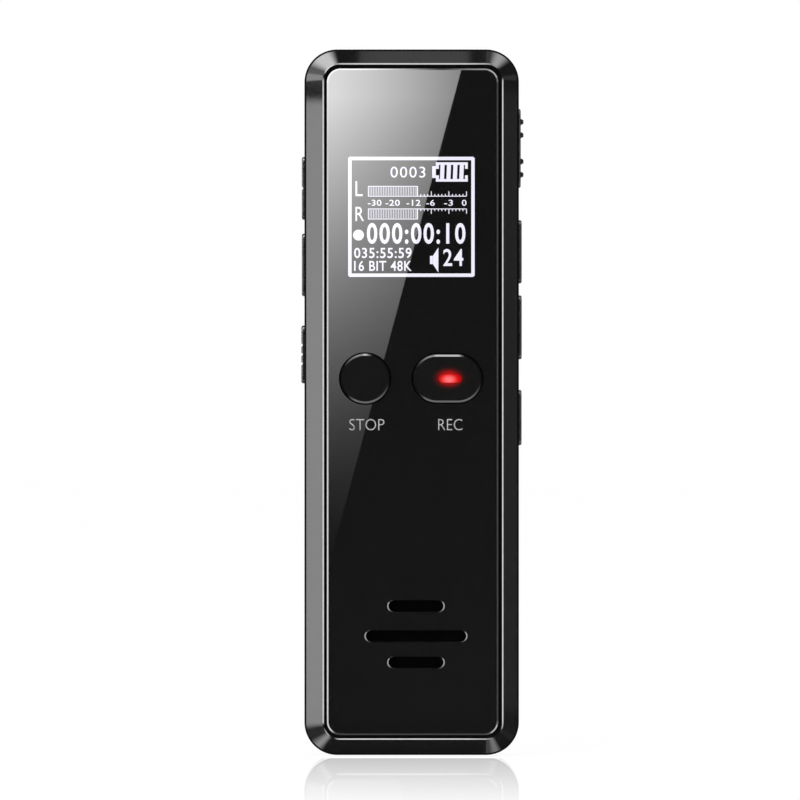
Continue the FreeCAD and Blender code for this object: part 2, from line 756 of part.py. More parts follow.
def chassis_ribs(drawing):
    """Stiffening ribs across the chassis."""
    for number in range(1, CHASSIS_RIBS + 1):
        middle = f"ribs_low + (ribs_high - ribs_low) * {number / (CHASSIS_RIBS + 1)}"
        rectangle(drawing, "-rib_reach", "rib_reach", *about(middle, "rib_thickness"))


def chassis_openings(drawing):
    """Display opening, button holes and speaker slots of the chassis plate."""
    width = "window_width / 2 - window_ledge"
    rectangle(
        drawing,
        f"-({width})",
        width,
        "window_z - window_height / 2 + window_ledge",
        "window_z + window_height / 2 - window_ledge",
    )
    button_holes(drawing, "4 * button_gap")
    speaker_outline(drawing, "-speaker_rim")


def button_holes(drawing, extra):
    """Holes of the two front buttons, larger than the buttons by an extra."""
    circle(drawing, "stop_x", "button_z", f"stop_diameter + {extra}")
    stadium(drawing, "rec_x", "button_z", f"rec_length + {extra}", f"rec_height + {extra}")


def make_rear_cover():
    """Tray with a rounded back, a tongue that fits in the frame, screw bosses and battery ribs."""
    body = new_body("rear_cover")
    pad(body, "XZ", "seam", "back - back_round", lambda d: inset_outline(d, "0", "corner_radius"))
    chamfer(body, "y", "seam", "seam_break")
    turns = [step * math.pi / 2 / BACK_STEPS for step in range(BACK_STEPS + 1)]
    levels = [f"back - back_round * {1 - math.sin(turn)}" for turn in turns]
    insets = [f"back_round * {1 - math.cos(turn)}" for turn in turns]
    ruled_loft(body, list(zip(levels, insets)))
    pocket(
        body,
        "XZ",
        "seam",
        "cover_floor",
        lambda d: inset_outline(d, "side_wall", "corner_radius - side_wall"),
    )
    for low, high, outer in (
        ("seam", "seam + tongue_root", "side_wall"),
        ("seam - tongue_height", "seam", "tongue_outer"),
    ):
        pad(body, "XZ", low, high, lambda d, o=outer: tongue(d, o))
    for side in (-1, 1):
        low, high = span(side, "half - tongue_outer", "half - tongue_outer + catch_reach")
        pad(body, "YZ", low, high, lambda d: catches(d, "0"))
    pad(body, "XZ", "board_back", "cover_floor", screw_squares("boss_width"))
    pad(body, "XZ", "cover_floor - rib_height", "cover_floor", battery_ribs)
    pocket(body, "XZ", "board_back", "back", screw_circles("screw_diameter + 2 * screw_gap"))
    pocket(body, "XZ", "head_seat", "back", screw_circles("head_diameter + 2 * recess_gap"))


def battery_ribs(drawing):
    """Two ribs that hold the battery's long sides."""
    inner = "cell_width / 2 + rib_gap"
    for side in (-1, 1):
        low, high = span(side, inner, f"{inner} + rib_thickness")
        rectangle(drawing, low, high, "cell_z + cell_edge", "cell_top - cell_edge")


def tongue(drawing, outer):
    """Ring of the cover's tongue."""
    inset_outline(drawing, outer, f"corner_radius - ({outer})")
    inset_outline(drawing, "tongue_inner", "corner_radius - tongue_inner")


def make_panel():
    """Glossy panel with the window opening, the button holes and the flared speaker slots."""
    body = new_body("front_panel")
    outline = ("panel_inset", "panel_corner")
    pad(body, "XZ", "face", "panel_back", lambda d: inset_outline(d, *outline))
    chamfer(body, "y", "face", "panel_edge")
    pocket(body, "XZ", "face", "panel_back", panel_window)
    pocket(body, "XZ", "face", "panel_back", lambda d: button_holes(d, "2 * button_gap"))
    for length, row_number in SLOTS:
        middle = f"speaker_z + {row_number} * slot_pitch"
        pocket(
            body,
            "XZ",
            "face",
            "panel_back",
            lambda d, l=length, z=middle: stadium(d, "speaker_x", z, l, "slot_height"),
        )
        wide = sketch(body, "XZ", "face")
        stadium(wide, "speaker_x", middle, f"{length} + 2 * slot_flare", "slot_height")
        narrow = sketch(body, "XZ", "face + flare_depth")
        stadium(narrow, "speaker_x", middle, length, "slot_height")
        flare = body.newObject("PartDesign::SubtractiveLoft", "flare")
        flare.Profile = wide
        flare.Sections = [narrow]
        flare.Ruled = True


def panel_window(drawing):
    """Opening for the display window."""
    width = "window_width / 2 + fit_gap"
    rectangle(
        drawing,
        f"-({width})",
        width,
        "window_z - window_height / 2 - fit_gap",
        "window_z + window_height / 2 + fit_gap",
    )


def make_window():
    """Clear window, flush in the panel and carried by the chassis ledge."""
    window = block(
        "display_window",
        about("0", "window_width"),
        ("face", "panel_back"),
        about("window_z", "window_height"),
    )
    node(window, "display_window")


def make_screws():
    """Two pan-head case screws with cross recesses."""
    screws = []
    for number, (x, z) in enumerate(SCREWS, start=1):
        name = f"case screw {number}"
        tip = "head_seat - screw_length"
        shank = rod(f"{name} shank", x, tip, z, "screw_diameter", "screw_length")
        head = rod(f"{name} head", x, "head_seat", z, "head_diameter", "head_height")
        depth = ("head_seat + head_height - cross_depth", "head_seat + head_height")
        bars = [
            block(f"{name} bar", about(x, "cross_length"), depth, about(z, "cross_width")),
            block(f"{name} bar", about(x, "cross_width"), depth, about(z, "cross_length")),
        ]
        cross = join(f"{name} cross", bars)
        screws.append(cut(name, join(f"{name} blank", [shank, head]), cross))
    group = doc.addObject("Part::Compound", "case_screws")
    group.Links = screws
    node(group, "case_screws")


# Display

def make_display():
    """Gasket, display glass, holder, flex and its connector."""
    glass_x = about("0", "glass_width")
    glass_z = about("window_z", "glass_height")
    outer = block("gasket sheet", glass_x, ("chassis_back", "glass_front"), glass_z)
    inner = block(
        "gasket opening",
        about("0", "window_width"),
        ("chassis_back", "glass_front"),
        about("window_z", "window_height"),
    )
    node(cut("display_gasket", outer, inner), "display_gasket")
    node(block("display_module", glass_x, ("glass_front", "glass_back"), glass_z), "display_module")
    make_holder()
    make_flex()
    connector = block(
        "display_connector",
        about("0", "flex_width + 2 * connector_margin"),
        ("board_front - connector_height", "board_front"),
        ("holder_low - connector_drop - connector_length", "holder_low - connector_drop"),
    )
    node(connector, "display_connector")


def make_holder():
    """Frame that holds the display glass over the chips on the board."""
    body = new_body("display_holder")
    outer = "holder_wall + fit_gap"
    pad(body, "XZ", "glass_front", "board_front", lambda d: holder_outline(d, outer))
    pocket(body, "XZ", "glass_front", "glass_back", lambda d: holder_outline(d, "fit_gap"))
    pocket(body, "XZ", "holder_back", "board_front", lambda d: holder_outline(d, "0"))
    width = about("0", "flex_width + 2 * flex_gap")
    pocket(
        body,
        "XY",
        "holder_low",
        "glass_low - fit_gap",
        lambda d: rectangle(d, *width, "glass_front", "board_front"),
    )


def holder_outline(drawing, extra):
    """The display glass's outline, widened by an extra all round."""
    rectangle(
        drawing,
        f"-glass_width / 2 - ({extra})",
        f"glass_width / 2 + ({extra})",
        f"window_z - glass_height / 2 - ({extra})",
        f"window_z + glass_height / 2 + ({extra})",
    )


def make_flex():
    """Flat cable from the lower edge of the display glass to the connector on the board."""
    body = new_body("display_flex")
    start = "glass_low - flex_start"
    bend = "holder_low - flex_room"
    plug = "holder_low - connector_drop"
    top = "glass_back - flex_depth"
    foot = "board_front - connector_height / 2"
    path = [
        (top, start),
        (top, f"{bend} + flex_bend"),
        (f"{top} + flex_bend", bend),
        (f"{foot} - flex_bend", bend),
        (foot, f"{bend} - flex_bend"),
        (foot, plug),
    ]
    lifts = ("0", "flex_thickness", "flex_thickness", "flex_thickness", "0", "0")
    under = [(f"{y} + flex_thickness", f"{z} + {lift}") for (y, z), lift in zip(path, lifts)]
    low, high = about("0", "flex_width")
    pad(body, "YZ", low, high, lambda d: polygon(d, path + under[::-1]))


# Board

def make_board():
    """Main board with its jack notch and screw holes, and the chips on it."""
    body = new_body("main_board")
    top = "boot_low - board_side_gap"
    outline = ("-half + board_inset", "half - board_inset", "board_inset", top, "board_corner")
    pad(body, "XZ", "board_front", "board_back", lambda d: cut_corners(d, *outline))
    notch = "jack_width / 2 + notch_gap"
    pocket(
        body,
        "XZ",
        "board_front",
        "board_back",
        lambda d: rectangle(d, f"-({notch})", notch, "jack_low - notch_gap", f"{top} + 1"),
    )
    pocket(body, "XZ", "board_front", "board_back", screw_circles("screw_diameter + 2 * screw_gap"))
    for label, x, z, width, length in CHIPS:
        depth = ("board_front - chip_height", "board_front")
        node(block(label, about(x, width), depth, about(z, length)), label)
    lamp = block(
        "rec_lamp",
        about("light_x", "lamp_length"),
        ("lamp_top", "board_front"),
        about("button_z", "lamp_width"),
    )
    node(lamp, "rec_lamp")


def make_battery():
    """Pouch cell, its protection circuit and the tape that holds it to the cover."""
    body = new_body("battery_cell")
    outline = ("-cell_width / 2", "cell_width / 2", "cell_front", "cell_back", "cell_edge")
    pad(body, "XY", "cell_z", "cell_top", lambda d: cut_corners(d, *outline))
    circuit = block(
        "battery_circuit",
        about("0", "cell_width - 2 * circuit_inset"),
        ("cell_front + cell_thickness / 4", "cell_back - cell_thickness / 4"),
        ("cell_top", "cell_top + circuit_length"),
    )
    node(circuit, "battery_circuit")
    tape = block(
        "battery_tape",
        about("0", "cell_width - 2 * tape_inset"),
        ("cell_back", "cover_floor"),
        ("cell_z + tape_inset", "cell_top - tape_inset"),
    )
    node(tape, "battery_tape")


def make_speaker():
    """Dust cloth, gasket, frame, diaphragm and magnet behind the slots."""
    whole = (about("speaker_x", "speaker_width"), about("speaker_z", "speaker_height"))
    inside = (
        about("speaker_x", "speaker_width - 2 * speaker_rim"),
        about("speaker_z", "speaker_height - 2 * speaker_rim"),
    )
    cloth = ("chassis_back", "chassis_back + mesh_thickness")
    node(block("speaker_cloth", whole[0], cloth, whole[1]), "speaker_cloth")
    gasket = ("chassis_back + mesh_thickness", "speaker_front")
    ring = cut(
        "speaker_gasket",
        block("speaker gasket sheet", whole[0], gasket, whole[1]),
        block("speaker gasket opening", inside[0], gasket, inside[1]),
    )
    node(ring, "speaker_gasket")
    frame = new_body("speaker_frame")
    floor = "speaker_back - speaker_floor"
    pad(frame, "XZ", "speaker_front", "speaker_back", lambda d: speaker_outline(d, "0"))
    pocket(frame, "XZ", "speaker_front", floor, lambda d: speaker_outline(d, "-speaker_rim"))
    pocket(frame, "XZ", floor, "speaker_back", lambda d: magnet_outline(d, "fit_gap"))
    make_diaphragm()
    magnet = new_body("speaker_magnet")
    pad(magnet, "XZ", floor, f"{floor} + magnet_depth", lambda d: magnet_outline(d, "0"))


def magnet_outline(drawing, extra):
    """The speaker magnet's outline, widened by an extra all round."""
    width = about("speaker_x", f"magnet_width + 2 * ({extra})")
    height = about("speaker_z", f"magnet_height + 2 * ({extra})")
    rectangle(drawing, *width, *height)


def make_diaphragm():
    """Flat-edged diaphragm with a raised middle, inside the speaker frame's rim."""
    body = new_body("speaker_diaphragm")
    edge = "-speaker_rim - fit_gap"
    flat = ("speaker_front + cone_rise", "speaker_front + cone_rise + cone_thickness")
    pad(body, "XZ", *flat, lambda d: speaker_outline(d, edge))
    foot = sketch(body, "XZ", flat[0])
    speaker_outline(foot, f"{edge} - cone_margin")
    top = sketch(body, "XZ", "speaker_front + cone_thickness")
    speaker_outline(top, f"{edge} - cone_margin - cone_rise")
    rise = body.newObject("PartDesign::AdditiveLoft", "rise")
    rise.Profile = foot
    rise.Sections = [top]
    rise.Ruled = True


def make_jack():
    """Headphone jack with its bored nose in the top end."""
    body = new_body("headphone_jack")
    outline = (*about("0", "jack_width"), *about("end_y", "jack_depth"))
    shoulder = "ceiling - fit_gap"
    end = "body_height - nose_setback"
    bottom = "jack_low + jack_floor"
    pad(body, "XY", "jack_low", shoulder, lambda d: rectangle(d, *outline))
    pad(body, "XY", shoulder, end, lambda d: circle(d, "0", "end_y", "nose_diameter"))
    pocket(body, "XY", bottom, end, lambda d: circle(d, "0", "end_y", "jack_bore"))


def make_microphones():
    """Two microphones, each in a rubber boot behind its sound slot."""
    for name, side in (("left", -1), ("right", 1)):
        x = f"{side} * mic_x"
        boot = cut(
            f"{name}_mic_boot",
            block(
                f"{name} boot sleeve",
                about(x, "boot_width"),
                about("end_y", "boot_depth"),
                ("boot_low", "boot_top"),
            ),
            block(
                f"{name} boot pocket",
                about(x, "mic_width"),
                about("end_y", "mic_depth"),
                ("mic_top - mic_length", "boot_top"),
            ),
        )
        node(boot, f"{name}_mic_boot")
        microphone = block(
            f"{name}_microphone",
            about(x, "mic_width - 2 * fit_gap"),
            about("end_y", "mic_depth - 2 * fit_gap"),
            ("mic_top - mic_length", "mic_top"),
        )
        node(microphone, f"{name}_microphone")


def make_usb():
    """Charging socket: a folded shell with a contact tongue, open at the bottom end."""
    body = new_body("usb_socket")
    far_end = "usb_setback + usb_length"
    floor = f"{far_end} - 2 * usb_skin"
    mouth = "usb_setback"
    width = about("0", "usb_tongue_width")
    height = about("(usb_front + usb_back) / 2", "usb_tongue_height")
    tip = f"{mouth} + usb_tongue_setback"
    pad(body, "XY", mouth, far_end, lambda d: usb_outline(d, "0"))
    pocket(body, "XY", mouth, floor, lambda d: usb_outline(d, "-usb_skin"))
    pad(body, "XY", tip, floor, lambda d: rectangle(d, *width, *height))


def usb_outline(drawing, extra):
    """Mouth of the charging socket with two slanted corners, widened by an extra all round."""
    width = f"usb_width / 2 + ({extra})"
    polygon(
        drawing,
        [
            (f"-({width}) + usb_slant", f"usb_front - ({extra})"),
            (f"{width} - usb_slant", f"usb_front - ({extra})"),
            (width, "usb_front + usb_slant"),
            (width, f"usb_back + ({extra})"),
            (f"-({width})", f"usb_back + ({extra})"),
            (f"-({width})", "usb_front + usb_slant"),
        ],
    )


# Buttons, keys and switches

def make_front_switch(name, x):
    """Tact switch behind a front button, and the plunger that rides with the button."""
    depth = "plunger_depth + button_travel + plunger_room"
    base = block(
        f"{name} switch block",
        about(x, "tact_width"),
        ("board_front - tact_height", "board_front"),
        about("button_z", "tact_width"),
    )
    well = rod(
        f"{name} switch well",
        x,
        "board_front - tact_height",
        "button_z",
        "front_plunger_diameter + 2 * plunger_gap",
        depth,
    )
    node(cut(f"{name}_switch", base, well), f"{name}_switch")
    plunger = rod(
        f"{name}_plunger",
        x,
        "plunger_top",
        "button_z",
        "front_plunger_diameter",
        "tact_rise + plunger_depth",
    )
    node(plunger, f"{name}_plunger")


def make_front_button(name, x, post_x, size, draw):
    """Front button: cap with a bevelled edge, flange behind the chassis plate and a post."""
    body = new_body(f"{name}_button")
    pad(body, "XZ", "cap_face", "flange_front", draw)
    chamfer(body, "y", "cap_face", "button_edge")
    lap = "2 * (button_gap + flange_lap)"
    outline = (*about(x, f"{size[0]} + {lap}"), *about("button_z", f"{size[1]} + {lap}"))
    pad(body, "XZ", "flange_front", "flange_back", lambda d: rectangle(d, *outline))
    pad(
        body,
        "XZ",
        "flange_back",
        "plunger_top",
        lambda d: circle(d, post_x, "button_z", "front_plunger_diameter"),
    )
    return body


def make_stop_button():
    """Round stop button."""
    make_front_button(
        "stop",
        "stop_x",
        "stop_x",
        ("stop_diameter", "stop_diameter"),
        lambda d: circle(d, "stop_x", "button_z", "stop_diameter"),
    )
    make_front_switch("stop", "stop_x")


def make_rec_button():
    """Obround record button with its light guide."""
    body = make_front_button(
        "rec",
        "rec_x",
        "rec_switch_x",
        ("rec_length", "rec_height"),
        lambda d: stadium(d, "rec_x", "button_z", "rec_length", "rec_height"),
    )
    pocket(body, "XZ", "cap_face", "flange_back", lambda d: light_outline(d, "fit_gap"))
    guide = new_body("rec_light_guide")
    end = "lamp_top - light_stop"
    width = about("light_x", "light_length + 2 * light_collar")
    height = about("button_z", "light_height + 2 * light_collar")
    collar = ("flange_back", "flange_back + light_collar")
    pad(guide, "XZ", "cap_face + fit_gap", end, lambda d: light_outline(d, "0"))
    pad(guide, "XZ", *collar, lambda d: rectangle(d, *width, *height))
    make_front_switch("rec", "rec_switch_x")


def light_outline(drawing, extra):
    """Outline of the record light, widened by an extra all round."""
    length = f"light_length + 2 * ({extra})"
    height = f"light_height + 2 * ({extra})"
    stadium(drawing, "light_x", "button_z", length, height)


def make_side_key(name, grooves):
    """Side key with its inner flange and post, and the switch and plunger behind it."""
    body = new_body(f"{name}_key")
    side = key_side(name)
    middle = f"body_height - {name}_drop"
    outer = f"half + {name}_proud"
    pad(body, "YZ", *span(side, "key_seat", outer), lambda d: key_outline(d, name, "0"))
    chamfer(body, "x", f"{side} * ({outer})", "key_edge")
    flange = about(middle, f"{name}_length + 2 * key_lap")
    seat = span(side, "key_inner", "key_seat")
    pad(body, "YZ", *seat, lambda d: rectangle(d, "key_low", "key_high", *flange))
    post = (*about("side_switch_y", "side_plunger_height"), *about(middle, "key_post_length"))
    pad(body, "YZ", *span(side, "post_end", "key_inner"), lambda d: rectangle(d, *post))
    for groove in grooves:
        centre = f"{middle} + {groove} * groove_pitch"
        cut_x = span(side, f"{outer} - groove_cut", f"{outer} + groove_cut")
        cut_y = ("key_low - groove_cut", "key_high + groove_cut")
        cut_z = about(centre, "2 * groove_cut")
        pocket(body, "XY", *cut_z, lambda d, x=cut_x, y=cut_y: rectangle(d, *x, *y))
    make_side_switch(name, side, middle)


def make_side_switch(name, side, middle):
    """Side tact switch on the board's edge, and the plunger that rides with the key."""
    base = block(
        f"{name} switch block",
        span(side, "tact_back", "tact_face"),
        ("board_front - side_tact_height", "board_front"),
        about(middle, "side_tact_length"),
    )
    reach = "plunger_depth + key_travel + plunger_room"
    well = block(
        f"{name} switch well",
        span(side, f"tact_face - ({reach})", "tact_face"),
        about("side_switch_y", "side_plunger_height + 2 * plunger_gap"),
        about(middle, "side_plunger_length + 2 * plunger_gap"),
    )
    node(cut(f"{name}_switch", base, well), f"{name}_switch")
    plunger = block(
        f"{name}_plunger",
        span(side, "tact_face - plunger_depth", "post_end"),
        about("side_switch_y", "side_plunger_height"),
        about(middle, "side_plunger_length"),
    )
    node(plunger, f"{name}_plunger")


def make_slide_switch():
    """Ridged slide knob, the slide switch on the board and its lever between the knob's prongs."""
    knob = new_body("slide_knob")
    length = about("knob_z", "knob_length")
    outer = "half + knob_proud"
    outline = ("key_low", "key_high", *length, "key_corner")
    flange = ("key_low", "key_high", *about("knob_z", "knob_length + 2 * knob_lap"))
    pad(knob, "YZ", "key_seat", outer, lambda d: rounded(d, *outline))
    pad(knob, "XZ", "key_low + key_edge", "key_high - key_edge", knob_ridges)
    pad(knob, "YZ", "key_inner", "key_seat", lambda d: rectangle(d, *flange))
    pad(knob, "YZ", "key_inner - prong_reach", "key_inner", knob_prongs)
    tip = "tact_face - plunger_depth"
    play = "lever_length / 2 + plunger_gap"
    base = block(
        "slide switch block",
        ("tact_back", "tact_face"),
        ("board_front - side_tact_height", "board_front"),
        about("knob_z + knob_travel / 2", "slide_base_length"),
    )
    well = block(
        "slide switch well",
        (f"{tip} - plunger_gap", "tact_face"),
        about("side_switch_y", "lever_height + 2 * plunger_gap"),
        (f"knob_z - ({play})", f"knob_z + {play} + knob_travel"),
    )
    node(cut("slide_switch", base, well), "slide_switch")
    lever = block(
        "slide_lever",
        (tip, "key_inner"),
        about("side_switch_y", "lever_height"),
        about("knob_z", "lever_length"),
    )
    node(lever, "slide_lever")


def knob_ridges(drawing):
    """Side view of the knob's finger ridges, narrower at the top."""
    base = "half + knob_proud"
    for number in KNOB_RIDGES:
        middle = f"knob_z + {number} * ridge_pitch"
        polygon(
            drawing,
            [
                (base, f"{middle} - ridge_length / 2"),
                (f"{base} + ridge_height", f"{middle} - ridge_length / 4"),
                (f"{base} + ridge_height", f"{middle} + ridge_length / 4"),
                (base, f"{middle} + ridge_length / 2"),
            ],
        )


def knob_prongs(drawing):
    """Two prongs with the lever between them."""
    near = "lever_length / 2 + plunger_gap"
    width = about("side_switch_y", "lever_height")
    for sign in (-1, 1):
        low, high = span(sign, near, f"{near} + prong_length")
        rectangle(drawing, *width, f"knob_z + {low}", f"knob_z + {high}")


def make_all():
    """Builds every sub-part."""
    make_front_frame()
    make_chassis()
    make_rear_cover()
    make_panel()
    make_window()
    make_screws()
    make_display()
    make_board()
    make_battery()
    make_speaker()
    make_jack()
    make_microphones()
    make_usb()
    make_stop_button()
    make_rec_button()
    for name, grooves in SIDE_KEYS.items():
        make_side_key(name, grooves)
    make_slide_switch()


def check_and_export():
    """Stops on any failed object, empty cut or bad shape, then writes a STEP file per sub-part."""
    doc.recompute()
    failed = [f"{o.Name} ({o.Label})" for o in doc.Objects if {"Invalid", "Error"} & set(o.State)]
    if failed:
        raise RuntimeError(f"objects that failed: {failed}")
    for feature in doc.findObjects("PartDesign::Pocket"):
        if feature.Shape.Volume > feature.BaseFeature.Shape.Volume - TOUCHING:
            label = feature.getParentGeoFeatureGroup().Label
            raise RuntimeError(f"{feature.Name} of {label} cuts nothing")
    for thing in NODES:
        if thing.Shape.isNull() or not thing.Shape.isValid() or not thing.Shape.Solids:
            raise RuntimeError(f"{thing.Label} has no valid shape")
    os.makedirs("parts", exist_ok=True)
    for thing in NODES:
        thing.Shape.exportStep(f"parts/{thing.Label}.step")


make_all()
check_and_export()
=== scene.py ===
"""Dressed model of a handheld voice recorder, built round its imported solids.

Sizes are in millimetres until a finished mesh is placed. +X is right, +Y towards the back and
+Z up, seen from the front.
"""

import logging
import math
from dataclasses import astuple, dataclass, replace
from enum import Enum

import bmesh
import bpy
from mathutils import Matrix, Vector


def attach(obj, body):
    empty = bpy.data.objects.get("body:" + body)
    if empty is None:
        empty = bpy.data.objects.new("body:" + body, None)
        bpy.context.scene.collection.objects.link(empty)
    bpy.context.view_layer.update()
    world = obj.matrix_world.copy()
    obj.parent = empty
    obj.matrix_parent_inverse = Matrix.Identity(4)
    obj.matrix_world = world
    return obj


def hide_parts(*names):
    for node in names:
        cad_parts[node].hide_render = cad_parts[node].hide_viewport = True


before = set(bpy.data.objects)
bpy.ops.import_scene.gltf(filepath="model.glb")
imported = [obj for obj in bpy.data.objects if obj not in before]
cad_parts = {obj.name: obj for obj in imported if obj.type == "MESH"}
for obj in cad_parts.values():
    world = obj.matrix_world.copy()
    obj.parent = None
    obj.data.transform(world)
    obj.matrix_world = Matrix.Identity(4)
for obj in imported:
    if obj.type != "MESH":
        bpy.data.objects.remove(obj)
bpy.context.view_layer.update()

MM = 0.001
WELD = 1e-4
ARC_STEPS = 24
LEAST_SHARE = 0.03
SHARP_ANGLE = math.radians(12)

log = logging.getLogger("voice recorder")


# Shaping


class Facing(Enum):
    """The way a blank's worked face looks once it is placed."""

    FRONT = Matrix.Rotation(math.pi / 2, 4, "X")
    BACK = Matrix.Rotation(math.pi, 4, "Z") @ Matrix.Rotation(math.pi / 2, 4, "X")
    LEFT = Matrix.Rotation(-math.pi / 2, 4, "Z") @ Matrix.Rotation(math.pi / 2, 4, "X")
    RIGHT = Matrix.Rotation(math.pi / 2, 4, "Z") @ Matrix.Rotation(math.pi / 2, 4, "X")
    TOP = Matrix.Identity(4)


@dataclass(frozen=True)
class Sides:
    """Where the four straight sides of an outline lie across and along the case."""

    left: float
    right: float
    low: float
    high: float

    def about(self, x: float, z: float) -> "Sides":
        """The same sides counted from a point."""
        return Sides(self.left - x, self.right - x, self.low - z, self.high - z)


class Blank:
    """A solid worked up from one rounded outline, step by step, along its own Z axis."""

    def __init__(
        self, width: float, length: float, radius: float = 0.0, lift: float = 0.1, slot: int = 0
    ) -> None:
        """Starts a slab.

        Args:
            width: Outline along the blank's X axis.
            length: Outline along the blank's Y axis.
            radius: Corner radius, half the shorter side for an obround or a disc.
            lift: Height of the first slab.
            slot: Material slot of the slab's walls.
        """
        self.mesh = bmesh.new()
        bmesh.ops.create_grid(self.mesh, x_segments=1, y_segments=1, size=0.5)
        bmesh.ops.scale(self.mesh, vec=(width, length, 1), verts=self.mesh.verts)
        if radius:
            bmesh.ops.bevel(
                self.mesh,
                geom=self.mesh.verts[:],
                offset=radius,
                offset_type="OFFSET",
                segments=ARC_STEPS,
                profile=0.5,
                affect="VERTICES",
                material=-1,
            )
            bmesh.ops.remove_doubles(self.mesh, verts=self.mesh.verts, dist=WELD)
        self.mesh.faces.ensure_lookup_table()
        self.foot = self.mesh.faces[0]
        grown = bmesh.ops.extrude_face_region(self.mesh, geom=[self.foot])["geom"]
        self.head = next(part for part in grown if isinstance(part, bmesh.types.BMFace))
        bmesh.ops.translate(self.mesh, vec=(0, 0, lift), verts=self.head.verts)
        bmesh.ops.recalc_face_normals(self.mesh, faces=self.mesh.faces)
        for face in self.mesh.faces:
            face.material_index = 0 if face in (self.head, self.foot) else slot

    def step(self, inset: float, rise: float, foot: bool = False, slot: int = 0) -> "Blank":
        """Insets the worked face and moves it outwards.

        Args:
            inset: Distance inwards from its outline.
            rise: Distance outwards along its normal.
            foot: Works the starting face instead of the head.
            slot: Material slot of the strip that this leaves.

        Returns:
            The blank.
        """
        face = self.foot if foot else self.head
        strip = bmesh.ops.inset_region(
            self.mesh,
            faces=[face],
            thickness=inset,
            depth=rise,
            use_even_offset=True,
            use_boundary=True,
        )
        for wall in strip["faces"]:
            wall.material_index = slot
        return self

    def rise(self, height: float, foot: bool = False, slot: int = 0) -> "Blank":
        """Draws the worked face straight out."""
        return self.step(0.0, height, foot, slot)

    def fit(self, sides: Sides, foot: bool = False) -> "Blank":
        """Moves the worked face's straight sides and keeps its corners' shape.

        Args:
            sides: Where the sides go, counted from the middle of the starting outline.
            foot: Works the starting face instead of the head.

        Returns:
            The blank.
        """
        verts = (self.foot if foot else self.head).verts
        for axis, ends in enumerate(((sides.left, sides.right), (sides.low, sides.high))):
            places = [vert.co[axis] for vert in verts]
            moves = (ends[0] - min(places), ends[1] - max(places))
            for vert in verts:
                vert.co[axis] += moves[vert.co[axis] > 0]
        return self

    def round_over(self, radius: float, steps: int = 8) -> "Blank":
        """Rounds the head's edge to a quarter circle.

        Args:
            radius: The circle's radius.
            steps: How many strips draw it.

        Returns:
            The blank.
        """
        quarter = math.pi / 2
        for number in range(steps):
            here, after = (quarter * part / steps for part in (number, number + 1))
            inset = radius * (math.cos(here) - math.cos(after))
            self.step(inset, radius * (math.sin(after) - math.sin(here)))
        return self

    def flare_ends(self, reach: float, drop: float, radius: float) -> "Blank":
        """Draws the head out while its round ends move inwards, at one slope all round.

        Args:
            reach: How far the ends move inwards along X.
            drop: How far their middles move outwards.
            radius: Radius of the ends.

        Returns:
            The blank.
        """
        base = self.head.verts[0].co.z
        tip = max(vert.co.x for vert in self.head.verts)
        self.rise(drop)
        for vert in self.head.verts:
            share = 1 - (tip - abs(vert.co.x)) / radius
            vert.co.x -= math.copysign(reach, vert.co.x)
            vert.co.z = base + drop * max(share, LEAST_SHARE)
        return self

    def flatten(self) -> "Blank":
        """Brings all corners of the head to one height.

        Returns:
            The blank.
        """
        height = max(vert.co.z for vert in self.head.verts)
        for vert in self.head.verts:
            vert.co.z = height
        return self

    def score(self, across: float, along: float) -> "Blank":
        """Cuts loops through the walls either side of the middle, both ways.

        Args:
            across: Distance of two loops from the middle, along X.
            along: Distance of the other two, along Y.

        Returns:
            The blank.
        """
        for normal, reach in (((1, 0, 0), across), ((0, 1, 0), along)):
            for side in (-1, 1):
                mesh = self.mesh
                bmesh.ops.bisect_plane(
                    mesh,
                    geom=mesh.verts[:] + mesh.edges[:] + mesh.faces[:],
                    dist=WELD / 10,
                    plane_co=[part * side * reach for part in normal],
                    plane_no=normal,
                )
        return self

    def weld_through(self) -> "Blank":
        """Opens the blank where its head and foot lie on each other.

        Returns:
            The blank.
        """
        bmesh.ops.delete(self.mesh, geom=[self.head, self.foot], context="FACES_ONLY")
        bmesh.ops.remove_doubles(self.mesh, verts=self.mesh.verts, dist=WELD)
        return self

    def place(self, facing: Facing, x: float, y: float, z: float) -> bmesh.types.BMesh:
        """Turns the blank to its facing and moves its starting outline's middle to a point.

        Args:
            facing: The way its head looks.
            x: Place across the case.
            y: Place front to back.
            z: Place along the case.

        Returns:
            The placed mesh.
        """
        bmesh.ops.recalc_face_normals(self.mesh, faces=self.mesh.faces)
        move = Matrix.Translation((x, y, z)) @ facing.value
        bmesh.ops.transform(self.mesh, matrix=move, verts=self.mesh.verts)
        return self.mesh


def put(name: str, data: bpy.types.ID) -> bpy.types.Object:
    """Makes an object of some data and links it to the scene.

    Args:
        name: The object's name.
        data: What it shows: a mesh, a curve, a lamp or a camera.

    Returns:
        The object.
    """
    piece = bpy.data.objects.new(name, data)
    bpy.context.scene.collection.objects.link(piece)
    return piece


def pour(part: bmesh.types.BMesh, whole: bmesh.types.BMesh) -> None:
    """Adds a mesh to another, without joining their surfaces, and frees it.

    Args:
        part: The mesh that is added.
        whole: The mesh that takes it.
    """
    passing = bpy.data.meshes.new("passing")
    part.to_mesh(passing)
    whole.from_mesh(passing)
    bpy.data.meshes.remove(passing)
    part.free()


def merged(meshes: list[bmesh.types.BMesh]) -> bmesh.types.BMesh:
    """Several meshes as one, without joining their surfaces.

    Args:
        meshes: The meshes, which are freed.

    Returns:
        The whole.
    """
    whole = bmesh.new()
    for part in meshes:
        pour(part, whole)
    return whole


